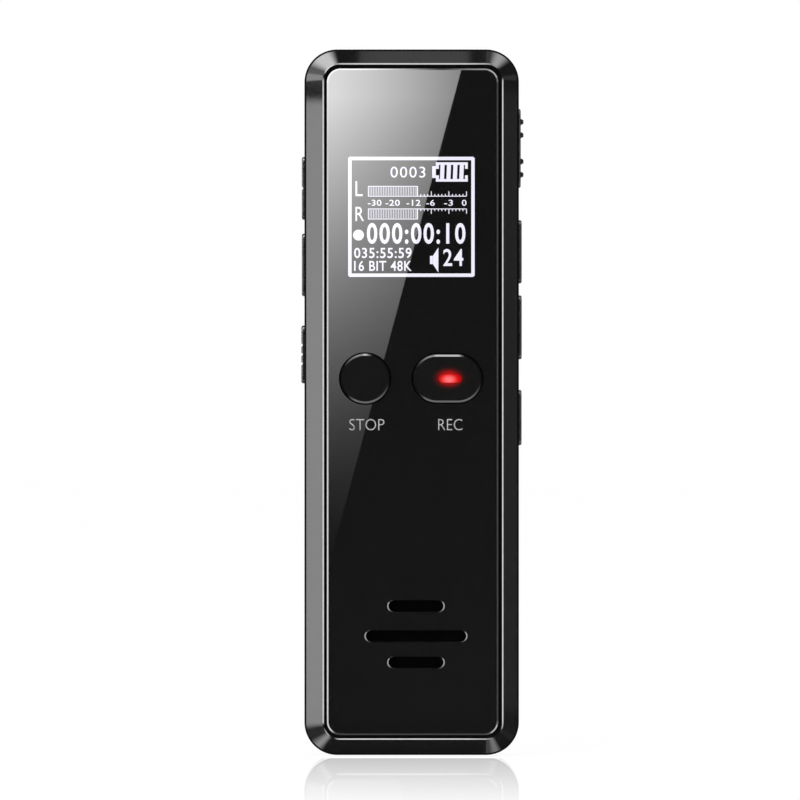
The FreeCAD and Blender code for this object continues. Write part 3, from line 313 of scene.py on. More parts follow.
def carved(
    body: bmesh.types.BMesh, tools: list[bmesh.types.BMesh], operation: str = "DIFFERENCE"
) -> bmesh.types.BMesh:
    """Cuts tools out of a body, or joins them to it.

    Args:
        body: The mesh that is kept.
        tools: Closed meshes, each cut or joined in turn.
        operation: The Boolean modifier's operation.

    Returns:
        The carved mesh.
    """
    base = put("carving", bpy.data.meshes.new("carving"))
    body.to_mesh(base.data)
    slots = 1 + max(face.material_index for mesh in (body, *tools) for face in mesh.faces)
    for number in range(slots):
        base.data.materials.append(bpy.data.materials.new(f"carving {number}"))
    blades = []
    for tool in tools:
        blade = put("blade", bpy.data.meshes.new("blade"))
        tool.to_mesh(blade.data)
        for material in base.data.materials:
            blade.data.materials.append(material)
        modifier = base.modifiers.new("carve", "BOOLEAN")
        modifier.operation = operation
        modifier.solver = "EXACT"
        modifier.object = blade
        blades.append(blade)
    bpy.context.view_layer.update()
    ready = base.evaluated_get(bpy.context.evaluated_depsgraph_get())
    result = bmesh.new()
    result.from_mesh(ready.to_mesh())
    ready.to_mesh_clear()
    for spent in [base, *blades]:
        data = spent.data
        bpy.data.objects.remove(spent)
        bpy.data.meshes.remove(data)
    for material in [m for m in bpy.data.materials if m.name.startswith("carving")]:
        bpy.data.materials.remove(material)
    bmesh.ops.remove_doubles(result, verts=result.verts, dist=WELD)
    bmesh.ops.dissolve_degenerate(result, edges=result.edges, dist=WELD)
    return result


def finished(
    name: str,
    shape: bmesh.types.BMesh,
    materials: list[bpy.types.Material],
    body: str,
    nodes: tuple[str, ...] = (),
    smooth: bool = True,
    weighted: bool = True,
) -> bpy.types.Object:
    """Makes a placed mesh a piece of the recorder.

    Args:
        name: The piece's name.
        shape: The mesh, in millimetres.
        materials: Its materials, in the order of its faces' slots.
        body: The body it moves with.
        nodes: The nodes it stands for.
        smooth: Whether its curved faces are shaded smooth.
        weighted: Whether its large faces keep their own shading up to their edges.

    Returns:
        The piece's object.
    """
    for edge in shape.edges:
        finishes = {face.material_index for face in edge.link_faces}
        curved = abs(edge.calc_face_angle(math.pi)) <= SHARP_ANGLE
        edge.smooth = curved and len(finishes) == 1
    for face in shape.faces:
        face.smooth = smooth
    bmesh.ops.scale(shape, vec=(MM, MM, MM), verts=shape.verts)
    data = bpy.data.meshes.new(name)
    shape.to_mesh(data)
    shape.free()
    for material in materials:
        data.materials.append(material)
    piece = put(name, data)
    if smooth and weighted:
        weights = piece.modifiers.new("even shading", "WEIGHTED_NORMAL")
        weights.keep_sharp = True
    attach(piece, body)
    if nodes:
        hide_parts(*nodes)
    log.info("%s: %d faces on %s", name, len(data.polygons), body)
    return piece


# Finishes


WHITE = (1, 1, 1, 1)


class Nodes:
    """The nodes of a material or of the world."""

    def __init__(self, tree: bpy.types.NodeTree) -> None:
        """Takes the tree that the nodes go into."""
        self.tree = tree

    def fill(self, node: bpy.types.Node, inputs: dict[str | int, object]) -> None:
        """Sets a node's inputs, or joins them to the sockets that feed them.

        Args:
            node: The node.
            inputs: Its inputs, each with a value or a socket.
        """
        for name, value in inputs.items():
            if isinstance(value, bpy.types.NodeSocket):
                self.tree.links.new(value, node.inputs[name])
            else:
                node.inputs[name].default_value = value

    def add(
        self, kind: str, inputs: dict[str | int, object] | None = None, **settings: object
    ) -> bpy.types.Node:
        """Adds a node.

        Args:
            kind: Its type, without the leading ShaderNode.
            inputs: Its inputs, each with a value or the socket that feeds it.
            settings: Its other settings.

        Returns:
            The node.
        """
        node = self.tree.nodes.new(f"ShaderNode{kind}")
        for key, value in settings.items():
            setattr(node, key, value)
        self.fill(node, inputs or {})
        return node

    def math(
        self, operation: str, *values: object, **settings: object
    ) -> bpy.types.NodeSocket:
        """A math node's result, from sockets or numbers."""
        node = self.add("Math", dict(enumerate(values)), operation=operation, **settings)
        return node.outputs["Value"]

    def span(
        self,
        value: bpy.types.NodeSocket,
        start: float,
        end: float,
        first: float = 0.0,
        last: float = 1.0,
        shape: str = "LINEAR",
    ) -> bpy.types.NodeSocket:
        """A value taken from one span to another.

        Args:
            value: The value.
            start: Where the first span starts.
            end: Where it ends.
            first: Where the second span starts.
            last: Where it ends.
            shape: How it goes from one end to the other.

        Returns:
            The new value.
        """
        inputs = {"Value": value, "From Min": start, "From Max": end, "To Min": first,
                  "To Max": last}
        return self.add("MapRange", inputs, interpolation_type=shape).outputs["Result"]

    def ramp(self, value: bpy.types.NodeSocket, stops: list) -> bpy.types.NodeSocket:
        """Grey levels or colours along a value, each with its place.

        Args:
            value: The value.
            stops: Places from 0 to 1, each with its level or colour.

        Returns:
            The socket that gives it.
        """
        node = self.add("ValToRGB", {"Fac": value})
        elements = node.color_ramp.elements
        while len(elements) < len(stops):
            elements.new(0.5)
        for element, (place, colour) in zip(elements, stops):
            element.position = place
            level = (colour,) * 3 if isinstance(colour, (int, float)) else colour
            element.color = (*level, 1)
        return node.outputs["Color"]

    def place_parts(self) -> bpy.types.NodeOutputs:
        """Object coordinates, axis by axis."""
        place = self.add("TexCoord").outputs["Object"]
        return self.add("SeparateXYZ", {"Vector": place}).outputs

    def seen(self) -> bpy.types.NodeSocket:
        """1 for camera, glossy and transmission rays.

        Returns:
            The socket that gives it.
        """
        path = self.add("LightPath").outputs
        total = path["Is Camera Ray"]
        for name in ("Is Glossy Ray", "Is Transmission Ray"):
            total = self.math("ADD", total, path[name], use_clamp=True)
        return total

    def show(self, surface: bpy.types.NodeSocket) -> None:
        """Puts a shader on the material's output."""
        self.fill(self.tree.nodes["Material Output"], {"Surface": surface})


class Grain(Enum):
    """The small pattern that a finish carries."""

    MOULDED = "noise"
    BRUSHED = "brushed"
    CELLS = "cells"
    WOVEN = "woven"
    TRACES = "traces"


@dataclass(frozen=True)
class Finish:
    """A procedural finish.

    Attributes:
        name: The material's name.
        colour: Base colour, linear.
        roughness: Middle roughness.
        spread: How far the roughness wanders either way.
        tone: How far the colour wanders, as a share of itself.
        grain: The small pattern.
        pitch: Size of the pattern in millimetres.
        depth: Depth of the pattern in millimetres.
        metallic: Share of bare metal.
        specular: Level of the surface's reflection.
        coat: Share of clear coat.
    """

    name: str
    colour: tuple[float, float, float]
    roughness: float
    spread: float = 0.05
    tone: float = 0.08
    grain: Grain = Grain.MOULDED
    pitch: float = 0.2
    depth: float = 0.004
    metallic: float = 0.0
    specular: float = 0.5
    coat: float = 0.0

    def made(self) -> bpy.types.Material:
        """The material of this finish, made once."""
        ready = bpy.data.materials.get(self.name)
        return ready if ready else Painter(self).material


class Painter(Nodes):
    """Builds the nodes of a finish."""

    brush_stretch = (0.06, 1.0, 1.0)
    waves_a_pitch = 0.314
    trace_distortion = 6.0
    middle_half = (0.25, 0.75)
    tone_places = (0.3, 0.7)
    tone_pitch = 7
    any_depth = 1e3

    def __init__(self, finish: Finish) -> None:
        """Builds the material of a finish.

        Args:
            finish: The finish.
        """
        self.finish = finish
        self.material = bpy.data.materials.new(finish.name)
        self.material.use_nodes = True
        super().__init__(self.material.node_tree)
        self.shader = self.tree.nodes["Principled BSDF"]
        self.place = self.add("TexCoord").outputs["Object"]
        pattern = self.pattern()
        low = max(0.0, finish.roughness - finish.spread)
        high = finish.roughness + finish.spread
        bump = self.add("Bump", {"Height": pattern, "Strength": 1.0,
                                 "Distance": finish.depth * MM})
        self.fill(self.shader, {
            "Metallic": finish.metallic,
            "Specular IOR Level": finish.specular,
            "Coat Weight": finish.coat,
            "Coat Roughness": finish.roughness / 2,
            "Roughness": self.span(pattern, *self.middle_half, low, high),
            "Base Color": self.tone(),
            "Normal": bump.outputs["Normal"],
        })

    def noise(
        self, pitch: float, detail: float, source: bpy.types.NodeSocket | None = None
    ) -> bpy.types.NodeSocket:
        """A noise pattern of a pitch in millimetres."""
        inputs = {"Vector": source or self.place, "Scale": 1 / (pitch * MM), "Detail": detail}
        return self.add("TexNoise", inputs).outputs["Fac"]

    def pattern(self) -> bpy.types.NodeSocket:
        """The small pattern of the finish, from 0 to 1.

        Returns:
            The socket that gives it.
        """
        pitch = self.finish.pitch
        grain = self.finish.grain
        if grain is Grain.MOULDED:
            return self.noise(pitch, 3.0)
        if grain is Grain.BRUSHED:
            mapping = self.add("Mapping", {"Vector": self.place, "Scale": self.brush_stretch})
            return self.noise(pitch, 4.0, mapping.outputs["Vector"])
        if grain is Grain.CELLS:
            cells = self.add("TexVoronoi", {"Vector": self.place, "Scale": 1 / (pitch * MM)})
            return cells.outputs["Distance"]
        inputs = {"Vector": self.place, "Scale": self.waves_a_pitch / (pitch * MM),
                  "Distortion": 0.0 if grain is Grain.WOVEN else self.trace_distortion}
        waves = [self.add("TexWave", inputs, bands_direction=axis) for axis in ("X", "Z")]
        return self.math("MULTIPLY", *(wave.outputs["Fac"] for wave in waves))

    def tone(self) -> bpy.types.NodeSocket:
        """The colour, which wanders slowly over the surface.

        Returns:
            The socket that gives it.
        """
        stops = []
        for sign, place in zip((-1, 1), self.tone_places):
            share = 1 + sign * self.finish.tone
            stops.append((place, [min(1.0, part * share) for part in self.finish.colour]))
        return self.ramp(self.noise(self.finish.pitch * self.tone_pitch, 5.0), stops)

    def glow(
        self, x: float, z: float, reach: tuple[float, float], stops: list
    ) -> bpy.types.Material:
        """Adds light that falls off from a point of the front.

        Args:
            x: Middle across the case.
            z: Middle along the case.
            reach: Where the light ends across and along the case.
            stops: Places from the middle to the end, each with its colour.

        Returns:
            The material.
        """
        across, along = reach
        inputs = {"Vector": self.place, "Location": (x * MM, 0, z * MM),
                  "Scale": (across * MM, self.any_depth, along * MM)}
        spot = self.add("Mapping", inputs, vector_type="TEXTURE").outputs["Vector"]
        distance = self.add("VectorMath", {0: spot}, operation="LENGTH").outputs["Value"]
        self.fill(self.shader, {"Emission Color": self.ramp(distance, stops),
                                "Emission Strength": 1.0})
        self.material.cycles.emission_sampling = "NONE"
        return self.material


FRAME_PAINT = Finish("black gloss paint", (0.0088, 0.0088, 0.0092), 0.03, 0.01, pitch=0.5,
                     depth=0.0001, tone=0.05)
# Near-black with almost no reflection: painted shade on the frame's outer edge break and groove
# wall, and on the walls of the panel's holes and slots, the window, the caps and the screw
# recess.
PAINTED_SHADE_BLACK = Finish("deep black cut edge", (0.0013, 0.0013, 0.0014), 0.45, 0.08, pitch=0.2,
                    depth=0.0006, specular=0.02)
LAND_METAL = Finish("polished land", (0.6, 0.6, 0.61), 0.05, 0.015, pitch=0.08, depth=0.00002,
                    grain=Grain.BRUSHED, metallic=1.0)
PANEL_GLOSS = Finish("mirror gloss panel", (0.0088, 0.0088, 0.0088), 0.005, 0.002, pitch=2.5,
                     depth=0.00003, tone=0.03)
CAP_SATIN = Finish("satin button cap", (0.0075, 0.0075, 0.0075), 0.36, 0.06, pitch=0.09,
                   depth=0.0012, specular=0.03)
CAP_EDGE = Finish("polished button edge", (0.0012, 0.0012, 0.0012), 0.07, 0.02, pitch=0.3,
                  depth=0.0002)
GUIDE_WALL = Finish("red light guide wall", (0.02, 0.001, 0.001), 0.4, 0.05, pitch=0.2,
                    depth=0.001, specular=0.1)
KEY_GLOSS = Finish("gloss key", (0.011, 0.011, 0.012), 0.2, 0.05, pitch=0.25, depth=0.0008)
COVER_SATIN = Finish("satin cover paint", (0.025, 0.025, 0.027), 0.42, 0.07, pitch=0.12,
                     depth=0.003)
LABEL_INK = Finish("light grey ink", (0.43, 0.43, 0.43), 0.5, 0.08, pitch=0.05, depth=0.001)
SCREW_STEEL = Finish("blackened screw steel", (0.12, 0.12, 0.125), 0.34, 0.08, pitch=0.15,
                     depth=0.002, metallic=1.0, tone=0.2)

SLOT_FINISHES = {
    "frame_gloss": FRAME_PAINT,
    "cover_satin": COVER_SATIN,
    "panel_gloss": PANEL_GLOSS,
    # Black moulding, kept darker than its own colour so that the chassis seen through the groove
    # shows as painted shade.
    "inner_black": Finish("moulded inner black", (0.0018, 0.0018, 0.0019), 0.55, 0.08,
                          pitch=0.15, specular=0.1),
    "inner_white": Finish("moulded inner white", (0.7, 0.7, 0.68), 0.5, 0.08, pitch=0.2),
    "foam_black": Finish("foam gasket", (0.03, 0.03, 0.03), 0.9, 0.05, grain=Grain.CELLS,
                         pitch=0.15, depth=0.05),
    "flex_amber": Finish("amber flex film", (0.5, 0.24, 0.05), 0.3, 0.06, grain=Grain.BRUSHED,
                         pitch=0.25, depth=0.004, tone=0.2),
    "board_green": Finish("green solder mask", (0.02, 0.14, 0.05), 0.32, 0.08,
                          grain=Grain.TRACES, pitch=0.6, depth=0.02, tone=0.3),
    "chip_black": Finish("moulded chip package", (0.03, 0.03, 0.031), 0.6, 0.08, pitch=0.06),
    "lamp_red": Finish("red lamp body", (0.6, 0.05, 0.04), 0.3, 0.05),
    "cell_silver": Finish("battery pouch foil", (0.6, 0.6, 0.61), 0.36, 0.1,
                          grain=Grain.BRUSHED, pitch=0.5, depth=0.02, metallic=1.0),
    "cloth_black": Finish("black dust cloth", (0.0012, 0.0012, 0.0012), 0.9, 0.05,
                          grain=Grain.WOVEN, pitch=0.12, depth=0.03, specular=0.05),
    "diaphragm_film": Finish("speaker film", (0.25, 0.25, 0.23), 0.35, 0.05, pitch=0.4),
    "magnet_steel": Finish("plated magnet steel", (0.5, 0.5, 0.5), 0.3, 0.08,
                           grain=Grain.BRUSHED, pitch=0.1, metallic=1.0),
    "socket_steel": Finish("socket shell steel", (0.55, 0.55, 0.56), 0.26, 0.07,
                           grain=Grain.BRUSHED, pitch=0.08, metallic=1.0, tone=0.15),
    "screw_steel": SCREW_STEEL,
    "switch_metal": Finish("tact switch cover", (0.5, 0.5, 0.5), 0.34, 0.08,
                           grain=Grain.BRUSHED, pitch=0.08, metallic=1.0),
    "plunger_white": Finish("moulded plunger", (0.6, 0.6, 0.58), 0.45, 0.07, pitch=0.15),
    "boot_rubber": Finish("microphone boot rubber", (0.02, 0.02, 0.02), 0.8, 0.08, pitch=0.1,
                          depth=0.01),
    "mic_brass": Finish("microphone can brass", (0.55, 0.42, 0.2), 0.32, 0.08,
                        grain=Grain.BRUSHED, pitch=0.1, metallic=1.0),
    "key_gloss": KEY_GLOSS,
    "button_satin": CAP_SATIN,
    "display_glass": Finish("black display glass", (0.003, 0.003, 0.004), 0.25, 0.05,
                            pitch=0.3, depth=0.0002, specular=0.2),
}
DISPLAY_GLOSS = replace(PANEL_GLOSS, name="display window gloss")
READOUT_GLOSS = replace(PANEL_GLOSS, name="readout light", tone=0.08)
LIT_CAP = replace(CAP_SATIN, name="lit record cap")
LIT_GUIDE = Finish("lit record light", (0.03, 0.001, 0.001), 0.25, specular=0.1)


# The recorder's sub-assemblies


@dataclass
class Case:
    """Bevelled front frame with its polished land, the rear cover and the case screws."""

    width: float = 30.0
    height: float = 98.7
    corner: float = 4.6
    wall: float = 1.0
    seat: float = 0.55
    seam: float = 1.6
    seam_break: float = 0.12
    rim: float = -5.4
    bevel: float = 1.93
    bevel_drop: float = 0.9
    break_width: float = 0.27
    break_drop: float = 0.36
    land: float = 0.28
    land_rise: float = 0.03
    land_outside: Sides = Sides(-12.45, 12.81, 2.20, 96.73)
    land_inside: Sides = Sides(-12.26, 12.64, 2.37, 96.53)
    corner_run: float = 3.5
    plate_front: float = -4.5
    plate_back: float = -3.9
    back: float = 5.5
    back_round: float = 1.8
    floor: float = 1.0
    screw_x: float = 11.0
    screw_z: float = 6.0
    recess: float = 0.9
    recess_width: float = 2.9
    head_width: float = 2.6
    head_height: float = 0.6
    shank_width: float = 1.4
    shank_length: float = 7.2
    point: tuple[float, float] = (0.35, 0.5)
    head_round: float = 0.2
    recess_break: float = 0.1
    cross: tuple[float, float] = (1.5, 0.36)
    cross_corner: float = 0.05
    cross_lift: float = 0.3
    cross_room: float = 0.2
    cross_taper: tuple[float, float] = (0.04, 0.25)
    jack_hole: float = 4.7
    sound_slot: tuple[float, float] = (3.0, 0.8)
    sound_slot_x: float = 8.2
    end_y: float = -1.5
    mouth: tuple[float, float] = (7.8, 2.8)
    mouth_corner: float = 0.45
    mouth_y: float = -0.75
    end_tool: float = 2.0
    end_cut: float = 1.5

    def build(self, side_windows: list[bmesh.types.BMesh]) -> None:
        """Builds and dresses the case.

        Args:
            side_windows: Tools that cut the keys' and the knob's windows.
        """
        finished("front_frame_shell", self.frame_shell(side_windows),
                 [FRAME_PAINT.made(), LAND_METAL.made(), PAINTED_SHADE_BLACK.made()], "case",
                 ("front_frame",), weighted=False)
        finished("rear_cover_shell", self.cover_shell(), [COVER_SATIN.made()], "case",
                 ("rear_cover",))
        finished("case_screw_pair", merged([self.screw(-1), self.screw(1)]),
                 [SCREW_STEEL.made(), PAINTED_SHADE_BLACK.made()], "case",
                 ("case_screws",))

    def frame_shell(self, side_windows: list[bmesh.types.BMesh]) -> bmesh.types.BMesh:
        """The frame, open through its middle, with its openings cut.

        Args:
            side_windows: Tools that cut the keys' and the knob's windows.

        Returns:
            The placed mesh.
        """
        inner_land = self.break_width + self.bevel + self.land
        bevel_foot = self.rim + self.bevel_drop
        wall_front = bevel_foot + self.break_drop
        start = self.seam - self.seam_break
        middle = self.height / 2
        inside = self.land_inside.about(0, middle)
        ring = Blank(self.width, self.height, self.corner, start - wall_front)
        # Slot 2, the painted shade black, goes on the outer edge break here and on the groove's
        # inner wall below.
        ring.step(self.break_width, self.break_drop, slot=2)
        ring.step(self.bevel, self.bevel_drop).fit(self.land_outside.about(0, middle))
        ring.step(self.land, self.land_rise, slot=1).fit(inside)
        ring.rise(self.rim - self.land_rise - self.plate_front, slot=2)
        ring.step(self.seam_break, self.seam_break, foot=True)
        ring.step(self.wall - self.seam_break, 0, foot=True)
        ring.rise(self.plate_back - self.seam, foot=True)
        ring.step(self.seat, 0, foot=True)
        ring.rise(self.plate_front - self.plate_back, foot=True)
        ring.step(inner_land - self.wall - self.seat, 0, foot=True).fit(inside, foot=True)
        ring.weld_through()
        straight = self.corner + self.corner_run
        ring.score(self.width / 2 - straight, middle - straight)
        shell = ring.place(Facing.FRONT, 0, start, middle)
        return carved(shell, side_windows + self.end_openings())

    def end_openings(self) -> list[bmesh.types.BMesh]:
        """Tools for the jack hole, the sound slots and the charging socket's mouth.

        Returns:
            The tools.
        """
        start = self.height - self.end_cut
        hole = Blank(self.jack_hole, self.jack_hole, self.jack_hole / 2, self.end_tool)
        tools = [hole.place(Facing.TOP, 0, self.end_y, start)]
        for side in (-1, 1):
            slot = Blank(*self.sound_slot, self.sound_slot[1] / 2, self.end_tool)
            tools.append(slot.place(Facing.TOP, side * self.sound_slot_x, self.end_y, start))
        mouth = Blank(*self.mouth, self.mouth_corner, self.end_tool)
        tools.append(mouth.place(Facing.TOP, 0, self.mouth_y, self.end_cut - self.end_tool))
        return tools

    def cover_shell(self) -> bmesh.types.BMesh:
        """The rear cover, hollow, with a rounded back and two screw recesses.

        Returns:
            The placed mesh.
        """
        side = self.back - self.back_round - self.seam - self.seam_break
        tray = Blank(self.width, self.height, self.corner, side)
        tray.round_over(self.back_round, steps=12)
        tray.step(self.seam_break, self.seam_break, foot=True)
        tray.step(self.wall - self.seam_break, 0, foot=True)
        tray.rise(self.seam - self.back + self.floor, foot=True)
        shell = tray.place(Facing.BACK, 0, self.seam + self.seam_break, self.height / 2)
        tools = []
        width = self.recess_width + 2 * self.recess_break
        for side in (-1, 1):
            recess = Blank(width, width, width / 2, self.recess_break)
            recess.step(self.recess_break, self.recess_break)
            recess.rise(self.recess - self.recess_break)
            tools.append(recess.place(Facing.FRONT, side * self.screw_x,
                                      self.back + self.recess_break, self.screw_z))
        return carved(shell, tools)

    def screw(self, side: int) -> bmesh.types.BMesh:
        """One case screw with a domed head and a cross recess.

        Args:
            side: -1 for the left screw, 1 for the right.

        Returns:
            The placed mesh.
        """
        head_seat = self.back - self.recess
        screw = Blank(self.head_width, self.head_width, self.head_width / 2,
                      self.head_height - self.head_round)
        screw.round_over(self.head_round)
        screw.step((self.head_width - self.shank_width) / 2, 0, foot=True)
        screw.rise(self.shank_length - self.point[1], foot=True)
        screw.step(*self.point, foot=True)
        whole = screw.place(Facing.BACK, side * self.screw_x, head_seat, self.screw_z)
        bars = []
        start = head_seat + self.head_height + self.cross_room
        for outline in (self.cross, self.cross[::-1]):
            # The cross recess walls take slot 1, painted shade black.
            bar = Blank(*outline, self.cross_corner, self.cross_lift, slot=1)
            bar.step(*self.cross_taper, slot=1)
            bars.append(bar.place(Facing.FRONT, side * self.screw_x, start, self.screw_z))
        return carved(whole, bars)


@dataclass
class Panel:
    """Mirror-gloss front panel with the speaker slots, its window and its two labels."""

    face: float = -5.5
    back: float = -4.5
    width: float = 23.945
    height: float = 93.12
    x: float = 0.1275
    middle: float = 49.41
    corner: float = 1.9
    edge: float = 0.21
    edge_drop: float = 0.167
    window_width: float = 19.0
    window_height: float = 18.0
    window_z: float = 75.25
    window_gap: float = 0.05
    window_play: float = 0.002
    hole_break: float = 0.07
    slot_x: float = 0.6
    slots: tuple[tuple[float, float], ...] = ((20.87, 7.69), (16.68, 14.04), (13.0, 7.69))
    slot_height: float = 1.64
    flare: float = 0.18
    flare_drop: float = 0.0585
    ink: float = 0.01
    window_room: float = 0.5
    tool_lead: float = 0.1
    tool_reach: float = 1.5

    def build(self, buttons: "FrontButtons") -> None:
        """Builds and dresses the panel round its buttons.

        Args:
            buttons: The buttons that it has holes for.
        """
        # Slot 1, painted shade black, goes on the panel's side walls and on the walls of the
        # window, slots and button holes that the tools cut.
        plate = Blank(self.width, self.height, self.corner,
                      self.back - self.face - self.edge_drop, slot=1)
        plate.step(self.edge, self.edge_drop)
        shell = plate.place(Facing.FRONT, self.x, self.back, self.middle)
        tools = [self.window_tool(), *self.slot_tools(), *buttons.hole_tools(self)]
        finished("front_panel_plate", carved(shell, tools),
                 [PANEL_GLOSS.made(), PAINTED_SHADE_BLACK.made()], "case",
                 ("front_panel",))
        margin = 2 * (self.window_gap - self.window_play)
        # The window glass's side walls take the painted shade black as well.
        window = Blank(self.window_width + margin, self.window_height + margin, 0,
                       self.back - self.face, slot=1)
        finished("display_window_glass",
                 window.place(Facing.FRONT, 0, self.back, self.window_z),
                 [DISPLAY_GLOSS.made(), PAINTED_SHADE_BLACK.made()], "case",
                 ("display_window",))
        words = [Word("STOP", -8.70, -3.82, 45.43, 47.01), Word("REC", 3.71, 7.08, 45.43, 47.01)]
        marks = Ink(self.face, self.ink)
        for word in words:
            marks.word(word, Weight.LIGHT)
        finished("button_labels", marks.mesh, [LABEL_INK.made()], "case",
                 smooth=False)

    def window_tool(self) -> bmesh.types.BMesh:
        """Tool for the window's opening.

        Returns:
            The tool.
        """
        width = self.window_width + 2 * self.window_gap
        height = self.window_height + 2 * self.window_gap
        depth = self.back - self.face + 2 * self.window_room
        # Slot 1 gives the opening's walls painted shade black.
        opening = Blank(width, height, 0, depth, slot=1)
        return opening.place(Facing.FRONT, 0, self.back + self.window_room, self.window_z)

    def slot_tools(self) -> list[bmesh.types.BMesh]:
        """Tools for the speaker slots with their flared ends.

        Returns:
            The tools.
        """
        tools = []
        radius = self.slot_height / 2
        for z, length in self.slots:
            slot = Blank(length + 2 * self.flare, self.slot_height, radius, self.tool_lead)
            slot.flare_ends(self.flare, self.flare_drop, radius)
            # Slot 1 gives the slot's walls painted shade black.
            slot.rise(self.tool_reach, slot=1).flatten()
            tools.append(slot.place(Facing.BACK, self.slot_x, self.face - self.tool_lead, z))
        return tools


class Weight(Enum):
    """How bold a word is drawn: its outline offset."""

    LIGHT = -0.012
    PLAIN = 0.0
    MEDIUM = 0.012
    BOLD = 0.022


@dataclass(frozen=True)
class Word:
    """A word, the rectangle that it fills and how widely its letters are set."""

    text: str
    left: float
    right: float
    low: float
    high: float
    setting: float = 1.0


class Ink:
    """Raised marks on a plane of the front."""

    letter_steps = 4
    letter_weld = 1e-5
    disc_steps = 40

    def __init__(self, level: float, thickness: float) -> None:
        """Starts with no marks.

        Args:
            level: The plane that carries the marks.
            thickness: How far the marks stand in front of it.
        """
        self.level = level
        self.thickness = thickness
        self.mesh = bmesh.new()

    def keep(self, mark: bmesh.types.BMesh) -> None:
        """Adds a mark drawn flat in X and Z, and gives it its thickness.

        Args:
            mark: The mark, which is freed.
        """
        faces = bmesh.ops.extrude_face_region(mark, geom=mark.faces[:])["geom"]
        verts = [part for part in faces if isinstance(part, bmesh.types.BMVert)]
        bmesh.ops.translate(mark, vec=(0, -self.thickness, 0), verts=verts)
        bmesh.ops.recalc_face_normals(mark, faces=mark.faces)
        bmesh.ops.translate(mark, vec=(0, self.level, 0), verts=mark.verts)
        pour(mark, self.mesh)

    def sheet(self, sides: Sides) -> bmesh.types.BMesh:
        """A flat rectangle in X and Z.

        Args:
            sides: Its sides.

        Returns:
            The rectangle.
        """
        mark = bmesh.new()
        bmesh.ops.create_grid(mark, x_segments=1, y_segments=1, size=0.5)
        middle = ((sides.left + sides.right) / 2, 0, (sides.low + sides.high) / 2)
        size = Matrix.Diagonal((sides.right - sides.left, sides.high - sides.low, 1, 1))
        move = Matrix.Translation(middle) @ Facing.FRONT.value @ size
        bmesh.ops.transform(mark, matrix=move, verts=mark.verts)
        return mark

    def bar(self, left: float, right: float, low: float, high: float, lean: float = 0) -> None:
        """Adds a bar, leaning to the right by an amount at its top.

        Args:
            left: Its left side.
            right: Its right side.
            low: Its lower side.
            high: Its upper side.
            lean: How far its top leans.
        """
        mark = self.sheet(Sides(left, right, low, high))
        for vert in mark.verts:
            if vert.co.z > (low + high) / 2:
                vert.co.x += lean
        self.keep(mark)

    def ring(self, sides: Sides, line: float, cut: float = 0.0) -> None:
        """Adds the outline of a rectangle.

        Args:
            sides: Its outer sides.
            line: Width of its line.
            cut: Size of its cut corners.
        """
        mark = self.sheet(sides)
        if cut:
            bmesh.ops.bevel(mark, geom=mark.verts[:], offset=cut, offset_type="OFFSET",
                            segments=1, profile=0.5, affect="VERTICES", material=-1)
        mark.faces.ensure_lookup_table()
        middle_face = mark.faces[0]
        bmesh.ops.inset_region(mark, faces=[middle_face], thickness=line, use_even_offset=True,
                               use_boundary=True)
        bmesh.ops.delete(mark, geom=[middle_face], context="FACES_ONLY")
        self.keep(mark)

    def disc(self, x: float, z: float, diameter: float) -> None:
        """Adds a round dot.

        Args:
            x: Its middle across the case.
            z: Its middle along the case.
            diameter: Its diameter.
        """
        mark = bmesh.new()
        bmesh.ops.create_circle(mark, cap_ends=True, segments=self.disc_steps,
                                radius=diameter / 2)
        move = Matrix.Translation((x, 0, z)) @ Facing.FRONT.value
        bmesh.ops.transform(mark, matrix=move, verts=mark.verts)
        self.keep(mark)

    def word(self, word: Word, weight: Weight) -> None:
        """Adds a word that fills its rectangle.

        Args:
            word: The word.
            weight: How bold it is.
        """
        curve = bpy.data.curves.new("lettering", "FONT")
        curve.body = word.text
        curve.offset = weight.value
        curve.space_character = word.setting
        curve.resolution_u = self.letter_steps
        holder = put("lettering", curve)
        bpy.context.view_layer.update()
        graph = bpy.context.evaluated_depsgraph_get()
        flat = bpy.data.meshes.new_from_object(holder.evaluated_get(graph))
        mark = bmesh.new()
        mark.from_mesh(flat)
        bpy.data.objects.remove(holder)
        bpy.data.curves.remove(curve)
        bpy.data.meshes.remove(flat)
        bmesh.ops.remove_doubles(mark, verts=mark.verts, dist=self.letter_weld)
        spans = [(min(v.co[i] for v in mark.verts), max(v.co[i] for v in mark.verts))
                 for i in (0, 1)]
        size = Matrix.Diagonal(((word.right - word.left) / (spans[0][1] - spans[0][0]),
                                (word.high - word.low) / (spans[1][1] - spans[1][0]), 1, 1))
        start = Matrix.Translation((-spans[0][0], -spans[1][0], 0))
        move = Matrix.Translation((word.left, 0, word.low))
        whole = move @ Facing.FRONT.value @ size @ start
        bmesh.ops.transform(mark, matrix=whole, verts=mark.verts)
        self.keep(mark)


GLOW_CURVE = 2.8
GLOW_STEPS = 8


def fading(red: tuple[float, float], pale: tuple[float, float]) -> list:
    """Fade of a red light from its middle to its end.

    Args:
        red: Level of its red in the middle, and how far that reaches.
        pale: The same for the green and the blue that make its middle pale.

    Returns:
        Places from 0 to 1, each with its colour.
    """
    stops = []
    for number in range(GLOW_STEPS + 1):
        place = number / GLOW_STEPS
        levels = [top * math.exp(-((place / reach) ** GLOW_CURVE))
                  for top, reach in (red, pale)]
        stops.append((place, (levels[0], levels[1], levels[1])))
    return stops


